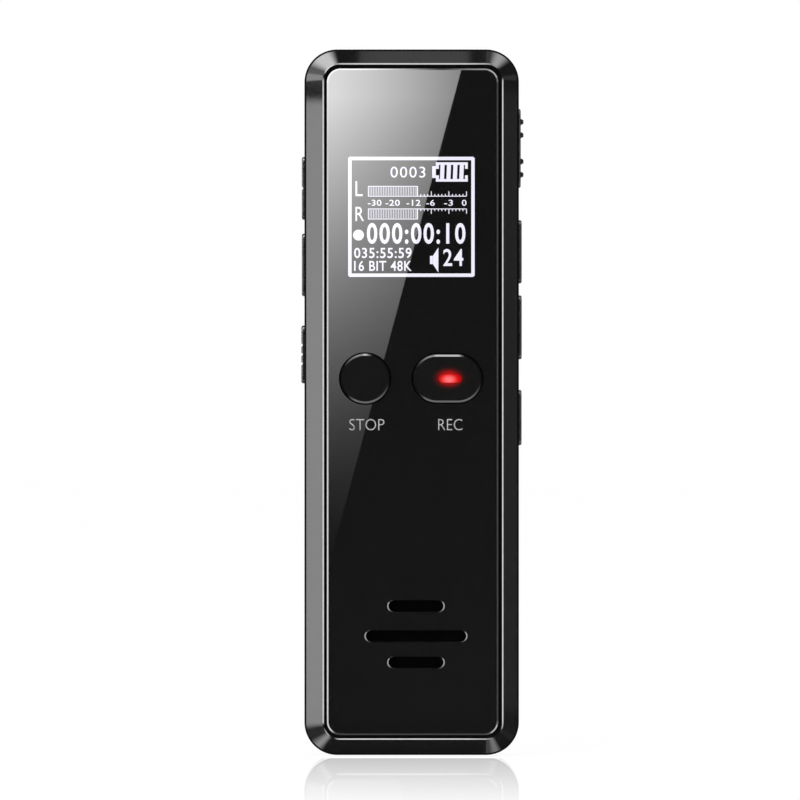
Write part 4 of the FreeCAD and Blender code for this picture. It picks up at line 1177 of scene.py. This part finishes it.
@dataclass
class FrontButtons:
    """Stop and record buttons with their polished edges, and the record light."""

    cap_face: float = -5.85
    z: float = 52.65
    edge: float = 0.265
    edge_drop: float = 0.174
    gap: float = 0.14
    lap: float = 0.65
    flange_back: float = -3.35
    flange: float = 0.5
    stop_x: float = -6.5
    stop_width: float = 6.93
    rec_x: float = 5.0
    rec_width: float = 9.65
    rec_height: float = 6.67
    light_x: float = 5.4
    light_width: float = 3.2
    light_height: float = 1.15
    light_face: float = -5.8
    light_back: float = -0.55
    glow_x: float = 5.215
    glow_z: float = 52.73
    cap_glow: tuple[float, float] = (2.7, 1.85)
    guide_glow: tuple[float, float] = (1.85, 1.25)
    cap_red: tuple[float, float] = (0.72, 0.49)
    cap_pale: tuple[float, float] = (0.0, 1.0)
    guide_red: tuple[float, float] = (1.0, 0.91)
    guide_pale: tuple[float, float] = (0.2, 0.43)
    light_gap: float = 0.03
    light_round: float = 0.06
    light_tool: float = 4.0
    light_tool_room: float = 0.5
    glow_drop: float = 0.14

    def hole_tools(self, panel: Panel) -> list[bmesh.types.BMesh]:
        """Tools for the panel's button holes, each with a small broken edge.

        Args:
            panel: The panel that has the holes.

        Returns:
            The tools.
        """
        tools = []
        for x, width, height in (
            (self.stop_x, self.stop_width, self.stop_width),
            (self.rec_x, self.rec_width, self.rec_height),
        ):
            rim = 2 * (self.gap + panel.hole_break)
            hole = Blank(width + rim, height + rim, (height + rim) / 2, panel.tool_lead)
            # Slot 1 gives the hole's walls painted shade black.
            hole.step(panel.hole_break, panel.hole_break).rise(panel.tool_reach, slot=1)
            tools.append(hole.place(Facing.BACK, x, panel.face - panel.tool_lead, self.z))
        return tools

    def cap(self, width: float, height: float) -> Blank:
        """A cap with its flange and its bevelled edge.

        Args:
            width: Width of the cap.
            height: Its height, which its round ends follow.

        Returns:
            The cap, not placed.
        """
        margin = self.gap + self.lap
        flange = (width + 2 * margin, height + 2 * margin)
        cap = Blank(*flange, flange[1] / 2, self.flange)
        cap.step(margin, 0)
        flange_front = self.flange_back - self.flange
        # Slot 2, painted shade black, goes on the cap's side wall inside the gap.
        cap.rise(flange_front - self.cap_face - self.edge_drop, slot=2)
        cap.step(self.edge, self.edge_drop, slot=1)
        return cap

    def build(self) -> None:
        """Builds and dresses both buttons and the light."""
        # The cap's polished edge, then painted shade black for its side walls and the light's
        # opening.
        edges = [CAP_EDGE.made(), PAINTED_SHADE_BLACK.made()]
        stop = self.cap(self.stop_width, self.stop_width)
        finished("stop_button_cap",
                 stop.place(Facing.FRONT, self.stop_x, self.flange_back, self.z),
                 [CAP_SATIN.made(), *edges], "stop", ("stop_button",))
        rec = self.cap(self.rec_width, self.rec_height)
        rec = rec.place(Facing.FRONT, self.rec_x, self.flange_back, self.z)
        width, height = self.light_width + self.light_gap, self.light_height + self.light_gap
        opening = Blank(width, height, height / 2, self.light_tool, slot=2)
        start = self.flange_back + self.light_tool_room
        opening = opening.place(Facing.FRONT, self.light_x, start, self.z)
        finished("record_button_cap", carved(rec, [opening]), [self.lit_cap(), *edges],
                 "record", ("rec_button",))
        guide = Blank(self.light_width, self.light_height, self.light_height / 2,
                      self.light_back - self.light_face - self.light_round, slot=1)
        guide.round_over(self.light_round, steps=3)
        finished("record_light", guide.place(Facing.FRONT, self.light_x, self.light_back, self.z),
                 [self.lit_guide(), GUIDE_WALL.made()], "record",
                 ("rec_light_guide",))

    def lit_cap(self) -> bpy.types.Material:
        """Satin cap that glows red round the light.

        Returns:
            The material.
        """
        fade = fading(self.cap_red, self.cap_pale)
        return Painter(LIT_CAP).glow(self.glow_x, self.glow_z, self.cap_glow, fade)

    def lit_guide(self) -> bpy.types.Material:
        """Red light guide, palest low in its middle.

        Returns:
            The material.
        """
        fade = fading(self.guide_red, self.guide_pale)
        middle = self.z - self.glow_drop
        return Painter(LIT_GUIDE).glow(self.glow_x, middle, self.guide_glow, fade)


@dataclass(frozen=True)
class SideKey:
    """A side key: its side, place, length, how far it stands out, and its grooves."""

    name: str
    side: int
    z: float
    length: float
    proud: float
    grooves: tuple[int, ...] = ()


@dataclass
class SideControls:
    """Six side keys and the slide switch's knob."""

    half: float = 15.0
    y: float = -1.1
    height: float = 2.6
    corner: float = 0.9
    edge: float = 0.25
    gap: float = 0.08
    seat: float = 13.95
    flange: float = 0.4
    lap: float = 0.6
    groove_pitch: float = 1.3
    groove: float = 0.18
    groove_lead: float = 0.05
    groove_lean: float = 0.9
    groove_extra: float = 0.02
    groove_overrun: float = 1.0
    flange_corner: float = 0.2
    window_tool: float = 3.0
    window_start: float = 2.0
    keys: tuple[SideKey, ...] = (
        SideKey("left_upper", -1, 79.35, 8.84, 0.40, (0,)),
        SideKey("left_middle", -1, 68.60, 8.80, 0.40),
        SideKey("left_lower", -1, 56.05, 8.13, 0.47, (-1, 0, 1)),
        SideKey("right_upper", 1, 70.45, 8.90, 0.44),
        SideKey("right_middle", 1, 59.85, 9.00, 0.44),
        SideKey("right_lower", 1, 47.20, 7.80, 0.42),
    )
    knob_z: float = 84.95
    knob_length: float = 11.1
    knob_proud: float = 0.3
    knob_travel: float = 2.0
    knob_lap: float = 1.5
    ridge: float = 0.38
    ridge_length: float = 0.8
    ridge_pitch: float = 1.85
    ridge_margin: float = 0.3
    ridge_corner: float = 0.15
    ridge_root: float = 0.45
    ridge_sunk: float = 0.35
    ridge_slope: float = 0.14
    ridge_tip: tuple[float, float] = (0.1, 0.05)

    def facing(self, side: int) -> Facing:
        """The facing of a side."""
        return Facing.LEFT if side < 0 else Facing.RIGHT

    def windows(self) -> list[bmesh.types.BMesh]:
        """Tools for the frame's side windows.

        Returns:
            The tools.
        """
        room = 2 * self.gap
        spans = [(key.side, key.z, key.length) for key in self.keys]
        spans.append((1, self.knob_z + self.knob_travel / 2, self.knob_length + self.knob_travel))
        tools = []
        for side, z, length in spans:
            tool = Blank(self.height + room, length + room, self.corner + self.gap,
                         self.window_tool)
            x = side * (self.half - self.window_start)
            tools.append(tool.place(self.facing(side), x, self.y, z))
        return tools

    def build(self) -> None:
        """Builds and dresses the keys and the knob."""
        for key in self.keys:
            finished(f"{key.name}_key_cap", self.key_shape(key), [KEY_GLOSS.made()], key.name,
                     (f"{key.name}_key",))
        finished("slide_knob_cap", self.knob_shape(), [KEY_GLOSS.made()], "slide",
                 ("slide_knob",))

    def plug(
        self, length: float, proud: float, lap: float, side: int, z: float
    ) -> list[bmesh.types.BMesh]:
        """A cap that fills its window, and the flange behind it.

        Args:
            length: Length of the cap along the case.
            proud: How far it stands out of the case.
            lap: How far the flange is longer at each end.
            side: -1 for the left side, 1 for the right.
            z: Middle along the case.

        Returns:
            The cap and the flange.
        """
        inner = self.seat - self.flange
        cap = Blank(self.height, length, self.corner, self.half + proud - inner - self.edge)
        cap.round_over(self.edge)
        flange = Blank(self.height, length + 2 * lap, self.flange_corner, self.flange)
        return [part.place(self.facing(side), side * inner, self.y, z) for part in (cap, flange)]

    def key_shape(self, key: SideKey) -> bmesh.types.BMesh:
        """A key with its flange and its grooves.

        Args:
            key: The key.

        Returns:
            The placed mesh.
        """
        cap, flange = self.plug(key.length, key.proud, self.lap, key.side, key.z)
        whole = carved(cap, [flange], "UNION")
        tools = []
        for place in key.grooves:
            width = 2 * (self.groove + self.groove_lead)
            blade = Blank(self.height + self.groove_overrun, width, 0, self.groove_lead)
            blade.step(self.groove * self.groove_lean, self.groove + self.groove_extra)
            facing = self.facing(-key.side)
            x = key.side * (self.half + key.proud + self.groove_lead)
            tools.append(blade.place(facing, x, self.y, key.z + place * self.groove_pitch))
        return carved(whole, tools) if tools else whole

    def knob_shape(self) -> bmesh.types.BMesh:
        """The knob with two pairs of finger ridges.

        Returns:
            The placed mesh.
        """
        cap, flange = self.plug(self.knob_length, self.knob_proud, self.knob_lap, 1, self.knob_z)
        ridges = [flange]
        flank = self.ridge - (self.ridge_root - self.ridge_sunk) - self.ridge_tip[1]
        for place in (-2, -1, 1, 2):
            ridge = Blank(self.height - self.ridge_margin, self.ridge_length,
                          self.ridge_corner, self.ridge_root)
            ridge.step(self.ridge_slope, flank).step(*self.ridge_tip)
            x = self.half + self.knob_proud - self.ridge_sunk
            ridges.append(ridge.place(Facing.RIGHT, x, self.y,
                                      self.knob_z + place * self.ridge_pitch))
        return carved(cap, ridges, "UNION")


@dataclass
class Readout:
    """What the display shows: two level meters, counters and small marks."""

    level: float = -5.502
    middle: float = 75.25
    reach: tuple[float, float] = (20, 20)
    thickness: float = 0.01
    outline: Sides = Sides(-8.87, 8.80, 66.86, 83.64)
    outline_width: float = 0.475
    outline_cut: float = 0.2
    hatch_start: float = 0.02
    hatch_pitch: float = 0.2333
    hatch_line: float = 0.075
    hatches: int = 29
    hatch_room: float = 0.05
    tick_start: float = 1.268
    tick_pitch: float = 0.4917
    tick_width: float = 0.12
    tick_reach: float = 0.24
    long_tick_reach: float = 0.62
    long_ticks: tuple[int, ...] = (3, 8, 13)
    ticks: int = 14
    meter_line: float = 0.11
    meter_left: float = -6.10
    meter_middle: float = 0.88
    meter_right: float = 7.68
    battery_case: Sides = Sides(3.38, 7.84, 80.17, 82.87)
    battery_nub: Sides = Sides(2.88, 3.38, 80.68, 82.31)
    battery_line: float = 0.36
    battery_gap: tuple[float, float] = (81.05, 81.95)
    battery_ends: tuple[float, float] = (3.80, 7.45)
    charge_start: float = 3.95
    charge_pitch: float = 0.9
    charge_width: float = 0.57
    charge_lean: float = 0.08
    charges: int = 4
    horn_back: Sides = Sides(2.56, 2.95, 68.65, 69.8)
    horn: Sides = Sides(2.97, 3.73, 67.47, 70.97)
    horn_throat: float = 0.33
    record_dot: tuple[float, float, float] = (-7.43, 72.7, 1.51)

    def build(self) -> None:
        """Draws the readout on the display window."""
        ink = Ink(self.level, self.thickness)
        ink.ring(self.outline, self.outline_width, self.outline_cut)
        self.battery(ink)
        self.meters(ink)
        self.speaker_sign(ink)
        ink.disc(*self.record_dot)
        for word in (
            Word("0003", -2.96, 1.91, 80.73, 82.26, 1.14),
            Word("L", -7.85, -6.85, 78.14, 80.22),
            Word("R", -7.85, -6.66, 74.67, 76.65),
        ):
            ink.word(word, Weight.PLAIN)
        for word in (
            Word("035:55:59", -8.04, -0.01, 69.47, 70.93, 1.1),
            Word("16 BIT 48K", -8.04, -0.01, 67.68, 69.12, 1.08),
            Word("24", 4.40, 7.22, 68.38, 70.77, 1.12),
        ):
            ink.word(word, Weight.MEDIUM)
        ink.word(Word("000:00:10", -6.26, 7.52, 71.46, 74.40, 1.16), Weight.BOLD)
        for text, left, right in (
            ("-30", -6.13, -4.22), ("-20", -3.65, -1.65), ("-12", -0.73, 1.24),
            ("-6", 2.03, 3.23), ("-3", 4.53, 5.77), ("0", 7.01, 7.66),
        ):
            ink.word(Word(text, left, right, 76.79, 77.64, 1.06), Weight.MEDIUM)
        fade = [(0.0, (0.9, 0.88, 1.0)), (1.0, (0.86, 0.84, 1.0))]
        light = Painter(READOUT_GLOSS).glow(0, self.middle, self.reach, fade)
        finished("display_readout", ink.mesh, [light], "case", smooth=False)

    def battery(self, ink: Ink) -> None:
        """The battery sign: a nub, a case open at both ends and four leaning bars.

        Args:
            ink: The marks it is added to.
        """
        case, line = self.battery_case, self.battery_line
        gap_low, gap_high = self.battery_gap
        left_end, right_start = self.battery_ends
        ink.bar(*astuple(self.battery_nub))
        for edge in (case.low, case.high - line):
            ink.bar(case.left, case.right, edge, edge + line)
        for left, right in ((case.left, left_end), (right_start, case.right)):
            ink.bar(left, right, case.low + line, gap_low)
            ink.bar(left, right, gap_high, case.high - line)
        for number in range(self.charges):
            left = self.charge_start + number * self.charge_pitch
            ink.bar(left, left + self.charge_width, case.low + line, case.high - line,
                    self.charge_lean)

    def meters(self, ink: Ink) -> None:
        """Two level meters with hatched bars and ticks.

        Args:
            ink: The marks they are added to.
        """
        line = self.meter_line
        margin = line + self.hatch_room
        for low, high, hangs in ((78.08, 79.56, False), (74.89, 76.41, True)):
            ink.ring(Sides(self.meter_left, self.meter_middle, low, high), line)
            for number in range(1, 1 + self.hatches):
                x = self.meter_left + self.hatch_start + number * self.hatch_pitch
                ink.bar(x, x + self.hatch_line, low + margin, high - margin)
            base = high - line if hangs else low
            ink.bar(self.meter_middle, self.meter_right, base, base + line)
            for number in range(self.ticks):
                x = self.tick_start + number * self.tick_pitch
                reach = self.long_tick_reach if number in self.long_ticks else self.tick_reach
                foot = base - reach if hangs else base + line
                ink.bar(x - self.tick_width / 2, x + self.tick_width / 2, foot, foot + reach)

    def speaker_sign(self, ink: Ink) -> None:
        """The loudspeaker sign.

        Args:
            ink: The marks it is added to.
        """
        ink.bar(*astuple(self.horn_back))
        horn = self.horn
        mark = ink.sheet(horn)
        for vert in mark.verts:
            if vert.co.x < (horn.left + horn.right) / 2:
                middle = (horn.low + horn.high) / 2
                vert.co.z = middle + (vert.co.z - middle) * self.horn_throat
        ink.keep(mark)


class Insides:
    """Everything behind the skin, which keeps its solids."""

    def dress(self) -> None:
        """Gives every node the finish of its material slot."""
        for name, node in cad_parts.items():
            for holder in node.material_slots:
                slot = holder.material.name.split(".")[0] if holder.material else ""
                if slot in SLOT_FINISHES:
                    holder.material = SLOT_FINISHES[slot].made()
            log.info("%s: dressed", name)


# The studio


@dataclass(frozen=True)
class Card:
    """A lit card in a ring of the studio, in degrees from the right by the top and the left.

    Attributes:
        start: Where it starts, in the middle of its soft edge.
        end: Where it ends, in the middle of its soft edge.
        rise: Length of the soft edge at its start.
        fall: Length of the soft edge at its end.
        power: Its strength.
    """

    start: float
    end: float
    rise: float
    fall: float
    power: float


@dataclass(frozen=True)
class Band:
    """A ring of cards round the object.

    Attributes:
        start: Where the ring starts, in degrees off the front.
        end: Where it ends.
        base: Strength between its cards.
        cards: Its cards.
    """

    start: float
    end: float
    base: float
    cards: tuple[Card, ...]


@dataclass
class Studio:
    """Plain pale floor, soft lamps, what the gloss reflects, and the camera."""

    camera_x: float = -1.63
    camera_z: float = 49.66
    distance: float = 1000.0
    panel_face: float = -5.5
    lens: float = 322.1
    sensor: float = 36.0
    clip_end: float = 20.0
    world_light: float = 0.5
    lamp_aim: float = 0.05
    floor_size: float = 7.0
    floor_level: float = -0.17
    dome_radius: float = 12.0
    softbox_distance: float = 1500.0
    softbox_corners: tuple[tuple[float, float], ...] = (
        (-13.0, 97.0), (7.246, 97.0), (-13.0, 21.1)
    )

    def build(self) -> None:
        """Sets up the whole studio."""
        scene = bpy.context.scene
        scene.view_settings.view_transform = "Standard"
        self.set_camera()
        self.set_world()
        self.set_lamps()
        self.floor()
        self.dome()
        self.softbox()

    def set_camera(self) -> None:
        """Places the camera straight in front."""
        data = bpy.data.cameras.new("camera")
        data.lens = self.lens
        data.sensor_width = self.sensor
        data.clip_end = self.clip_end
        camera = put("camera", data)
        camera.location = Vector((self.camera_x, self.panel_face - self.distance,
                                  self.camera_z)) * MM
        camera.rotation_euler = (math.pi / 2, 0, 0)
        bpy.context.scene.camera = camera

    def set_world(self) -> None:
        """White behind the object and in its reflections, softer as light."""
        world = bpy.data.worlds.new("studio world")
        bpy.context.scene.world = world
        world.use_nodes = True
        nodes = Nodes(world.node_tree)
        strength = nodes.span(nodes.seen(), 0.0, 1.0, self.world_light, 1.0)
        nodes.fill(nodes.tree.nodes["Background"], {"Color": WHITE, "Strength": strength})

    def set_lamps(self) -> None:
        """Two soft lamps from the front."""
        for name, place, power, size in (
            ("key lamp", (-0.7, -1.1, 0.9), 5.5, 0.9),
            ("fill lamp", (0.9, -1.2, 0.3), 2.2, 1.0),
        ):
            data = bpy.data.lights.new(name, "AREA")
            data.energy = power
            data.size = size
            lamp = put(name, data)
            lamp.location = place
            aim = Vector((0, 0, self.lamp_aim)) - Vector(place)
            lamp.rotation_euler = aim.to_track_quat("-Z", "Y").to_euler()
            lamp.visible_glossy = False

    def floor(self) -> bpy.types.Object:
        """Pale glossy floor that keeps the object's shadow.

        Returns:
            The object.
        """
        mesh = bmesh.new()
        bmesh.ops.create_grid(mesh, x_segments=1, y_segments=1, size=self.floor_size / 2)
        bmesh.ops.translate(mesh, vec=(0, 0, self.floor_level * MM), verts=mesh.verts)
        floor = stage_piece("floor", mesh, floor_material())
        floor.visible_glossy = False
        return floor

    def dome(self) -> bpy.types.Object:
        """What polished surfaces reflect: strips and cards all round.

        Returns:
            The object.
        """
        mesh = bmesh.new()
        bmesh.ops.create_uvsphere(mesh, u_segments=48, v_segments=24, radius=self.dome_radius)
        bmesh.ops.reverse_faces(mesh, faces=mesh.faces)
        dome = stage_piece("reflected studio", mesh, DomeLight().material)
        dome.location = Vector((self.camera_x, 0, self.camera_z)) * MM
        only_reflected(dome)
        return dome

    def softbox(self) -> bpy.types.Object:
        """The large graded softbox that the panel mirrors, far behind the camera.

        Returns:
            The object.
        """
        scale = (self.distance + self.softbox_distance) / self.distance
        eye = Vector((self.camera_x, 0, self.camera_z))
        mesh = bmesh.new()
        verts = []
        for x, z in self.softbox_corners:
            place = eye + (Vector((x, 0, z)) - eye) * scale
            place.y = self.panel_face - self.softbox_distance
            verts.append(mesh.verts.new(place * MM))
        mesh.faces.new(verts)
        card = stage_piece("graded softbox", mesh, softbox_material(eye, scale))
        only_reflected(card)
        return card


def bare_material(name: str) -> tuple[bpy.types.Material, Nodes]:
    """A stage material with nothing on its output, never sampled as a lamp, and its nodes.

    Args:
        name: The material's name.

    Returns:
        The material and its nodes.
    """
    material = bpy.data.materials.new(name)
    material.use_nodes = True
    material.cycles.emission_sampling = "NONE"
    nodes = Nodes(material.node_tree)
    nodes.tree.nodes.remove(nodes.tree.nodes["Principled BSDF"])
    return material, nodes


def stage_piece(
    name: str, mesh: bmesh.types.BMesh, material: bpy.types.Material
) -> bpy.types.Object:
    """Links a stage object.

    Args:
        name: The object's name.
        mesh: Its mesh, in metres.
        material: Its material.

    Returns:
        The object.
    """
    data = bpy.data.meshes.new(name)
    mesh.to_mesh(data)
    mesh.free()
    data.materials.append(material)
    return put(name, data)


def only_reflected(piece: bpy.types.Object) -> None:
    """Hides an object from everything but reflections.

    Args:
        piece: The object.
    """
    piece.visible_camera = False
    piece.visible_diffuse = False
    piece.visible_transmission = False
    piece.visible_shadow = False
    piece.visible_volume_scatter = False


MIRROR_FROM = -0.13
MIRROR_TO = -0.0097
MIRROR_EDGE = 0.0004
FLOOR_SHARE = 0.9


def floor_material() -> bpy.types.Material:
    """White floor: its own colour, some lamp light and a mirror that fades towards the camera.

    Returns:
        The material.
    """
    material, nodes = bare_material("pale floor")
    white = nodes.add("Emission", {"Strength": 1.05}).outputs["Emission"]
    matte = nodes.add("BsdfDiffuse", {"Color": (0.97, 0.97, 0.97, 1)}).outputs["BSDF"]
    mirror = nodes.add("BsdfGlossy", {"Color": WHITE, "Roughness": 0.02}).outputs["BSDF"]
    share = nodes.span(nodes.seen(), 0.0, 1.0, 0.0, FLOOR_SHARE)
    body = nodes.add("MixShader", {"Fac": share, 1: matte, 2: white}).outputs["Shader"]
    stops = ((MIRROR_FROM, 0.03), (MIRROR_FROM / 2, 0.24), (MIRROR_TO - MIRROR_EDGE, 0.43),
             (MIRROR_TO, 0.0))
    reach = nodes.span(nodes.place_parts()["Y"], MIRROR_FROM, 0.0)
    fade = nodes.ramp(reach, [(1 - place / MIRROR_FROM, level) for place, level in stops])
    nodes.show(nodes.add("MixShader", {"Fac": fade, 1: body, 2: mirror}).outputs["Shader"])
    return material


LAND_LIGHTS = Band(11, 31, 0.02, (
    Card(-9.5, 9.0, 1, 0.5, 1.15),
    Card(9, 13, 0.5, 8, 0.4),
    Card(52, 73, 14, 10, 0.45),
    Card(75, 88, 8, 0.5, 0.6),
    Card(87.5, 92.5, 0.5, 0.5, 1.05),
    Card(92, 108, 0.5, 8, 0.6),
    Card(107, 147, 8, 16, 1.2),
    Card(165, 171, 10, 1, 0.4),
    Card(170, 190, 1, 0.5, 1.1),
    Card(190, 193, 0.5, 4, 0.35),
    Card(212, 235, 16, 12, 0.65),
    Card(257, 268, 14, 0.5, 0.8),
    Card(267.5, 272.5, 0.5, 0.5, 1.15),
    Card(272.5, 289, 0.5, 16, 0.5),
    Card(334, 352, 16, 2, 0.8),
))
FLARE_LIGHTS = Band(34.5, 39.5, 0.0, (
    Card(-57.5, 57.5, 35, 35, 8),
    Card(122.5, 237.5, 35, 35, 8),
))
BEVEL_LIGHTS = Band(41.5, 60.5, 0.07, (
    Card(-4, 4, 0.5, 0.5, 0.25),
    Card(6.5, 17.5, 4, 8, 0.5),
    Card(49.5, 74, 20, 22, 7.4),
    Card(76, 88, 10, 2, 0.8),
    Card(89, 90.5, 0.5, 0.5, 1.1),
    Card(102.5, 142, 22, 26, 13),
    Card(148, 160, 6, 4, 2.4),
    Card(158.5, 174, 10, 4, 5.5),
    Card(176, 192, 0.5, 18, 5.5),
    Card(198, 222, 6, 6, 0.35),
    Card(223, 238.5, 20, 14, 6),
    Card(272, 280, 0.5, 8, 1.2),
    Card(280, 295, 16, 12, 3.8),
    Card(320, 334, 6, 6, 0.2),
))
RING_LIGHTS = Band(63, 71.5, 0.1, (
    Card(84, 97, 10, 12, 12.5),
    Card(80, 126, 16, 56, 6),
    Card(234, 322, 24, 70, 3.2),
))
CHAMFER_LIGHTS = Band(73.5, 84, 1.1, (
    Card(3, 30, 0.5, 4, 3),
    Card(22.5, 76, 9, 14, 8.5),
    Card(70, 89.5, 8, 0.5, 6),
    Card(90, 178, 1, 3, 22),
    Card(176, 183, 2, 0.5, 14),
    Card(182, 236, 1, 34, 13.5),
    Card(274, 300, 4, 6, 1.7),
    Card(296, 343, 18, 8, 9.5),
    Card(330, 357, 4, 0.5, 3),
))
BANDS = (LAND_LIGHTS, FLARE_LIGHTS, BEVEL_LIGHTS, RING_LIGHTS, CHAMFER_LIGHTS)


class DomeLight(Nodes):
    """Material of the dome: rings of cards, white behind the object."""

    ring_edge = 0.8
    side_light = (87, 98, 2)
    rear_light = (122, 400, 4)

    def __init__(self) -> None:
        """Builds the material."""
        self.material, nodes = bare_material("reflected studio")
        super().__init__(nodes.tree)
        place = self.add("TexCoord").outputs["Object"]
        unit = self.add("VectorMath", {0: place}, operation="NORMALIZE").outputs["Vector"]
        ways = self.add("SeparateXYZ", {"Vector": unit}).outputs
        ahead = self.math("MULTIPLY", ways["Y"], -1.0)
        angle = self.math("MULTIPLY", self.math("ARCCOSINE", ahead), 180 / math.pi)
        turn = self.math("ARCTAN2", ways["Z"], ways["X"])
        turn = self.math("MULTIPLY", turn, 180 / math.pi)
        sides = self.window(angle, *self.side_light)
        total = self.math("ADD", sides, self.window(angle, *self.rear_light))
        for band in BANDS:
            total = self.math("ADD", total, self.ring(band, angle, turn))
        self.show(self.add("Emission", {"Strength": total}).outputs["Emission"])

    def window(
        self, angle: bpy.types.NodeSocket, start: float, end: float, soft: float
    ) -> bpy.types.NodeSocket:
        """1 between two angles, fading over a soft edge.

        Args:
            angle: The angle.
            start: Where it is 1 first.
            end: Where it is 1 last.
            soft: Length of the soft edge outside them.

        Returns:
            The socket that gives it.
        """
        rise = self.span(angle, start - soft, start, shape="SMOOTHSTEP")
        fall = self.span(angle, end + soft, end, shape="SMOOTHSTEP")
        return self.math("MULTIPLY", rise, fall)

    def ring(
        self, band: Band, angle: bpy.types.NodeSocket, turn: bpy.types.NodeSocket
    ) -> bpy.types.NodeSocket:
        """One ring: at each turn it is as bright as the brightest card there.

        Args:
            band: The ring.
            angle: Degrees off the front.
            turn: Degrees round the front.

        Returns:
            The socket that gives it.
        """
        level = band.base
        for card in band.cards:
            level = self.math("MAXIMUM", self.card(card, turn), level)
        window = self.window(angle, band.start, band.end, self.ring_edge)
        return self.math("MULTIPLY", level, window)

    def card(self, card: Card, turn: bpy.types.NodeSocket) -> bpy.types.NodeSocket:
        """A card's light along the turn.

        Args:
            card: The card.
            turn: Degrees round the front.

        Returns:
            The socket that gives it.
        """
        into = self.math("SUBTRACT", turn, card.start - card.rise / 2)
        into = self.math("FLOORED_MODULO", into, 360.0)
        length = card.end - card.start + card.rise / 2
        rise = self.span(into, 0.0, card.rise, shape="SMOOTHSTEP")
        fall = self.span(into, length - card.fall / 2, length + card.fall / 2, 1.0, 0.0,
                         shape="SMOOTHSTEP")
        return self.math("MULTIPLY", fall, self.math("MULTIPLY", rise, card.power))


SOFTBOX_SPANS = (("X", -11, 7, 1.0, 0.33), ("Z", 20, 92, 0.0, 1.0))
SOFTBOX_CURVE = 2.8
SOFTBOX_POWER = 17.7


def softbox_material(eye: Vector, scale: float) -> bpy.types.Material:
    """Softbox that is brightest at its upper left corner, scaled from the case about a point.

    Args:
        eye: The point.
        scale: How many times larger than the case it is drawn.

    Returns:
        The material.
    """
    material, nodes = bare_material("graded softbox")
    parts = nodes.place_parts()
    levels = []
    for axis, start, end, first, last in SOFTBOX_SPANS:
        centre = getattr(eye, axis.lower())
        ends = ((centre + (at - centre) * scale) * MM for at in (start, end))
        levels.append(nodes.span(parts[axis], *ends, first, last))
    across, along = levels
    level = nodes.math("MULTIPLY", nodes.math("POWER", along, SOFTBOX_CURVE), across)
    power = nodes.math("MULTIPLY", level, SOFTBOX_POWER)
    nodes.show(nodes.add("Emission", {"Strength": power}).outputs["Emission"])
    return material


def main() -> None:
    """Builds the recorder and its studio."""
    logging.basicConfig(level=logging.INFO, format="%(message)s")
    Insides().dress()
    controls = SideControls()
    buttons = FrontButtons()
    Case().build(controls.windows())
    Panel().build(buttons)
    buttons.build()
    controls.build()
    Readout().build()
    Studio().build()


if __name__ == "__main__":
    main()
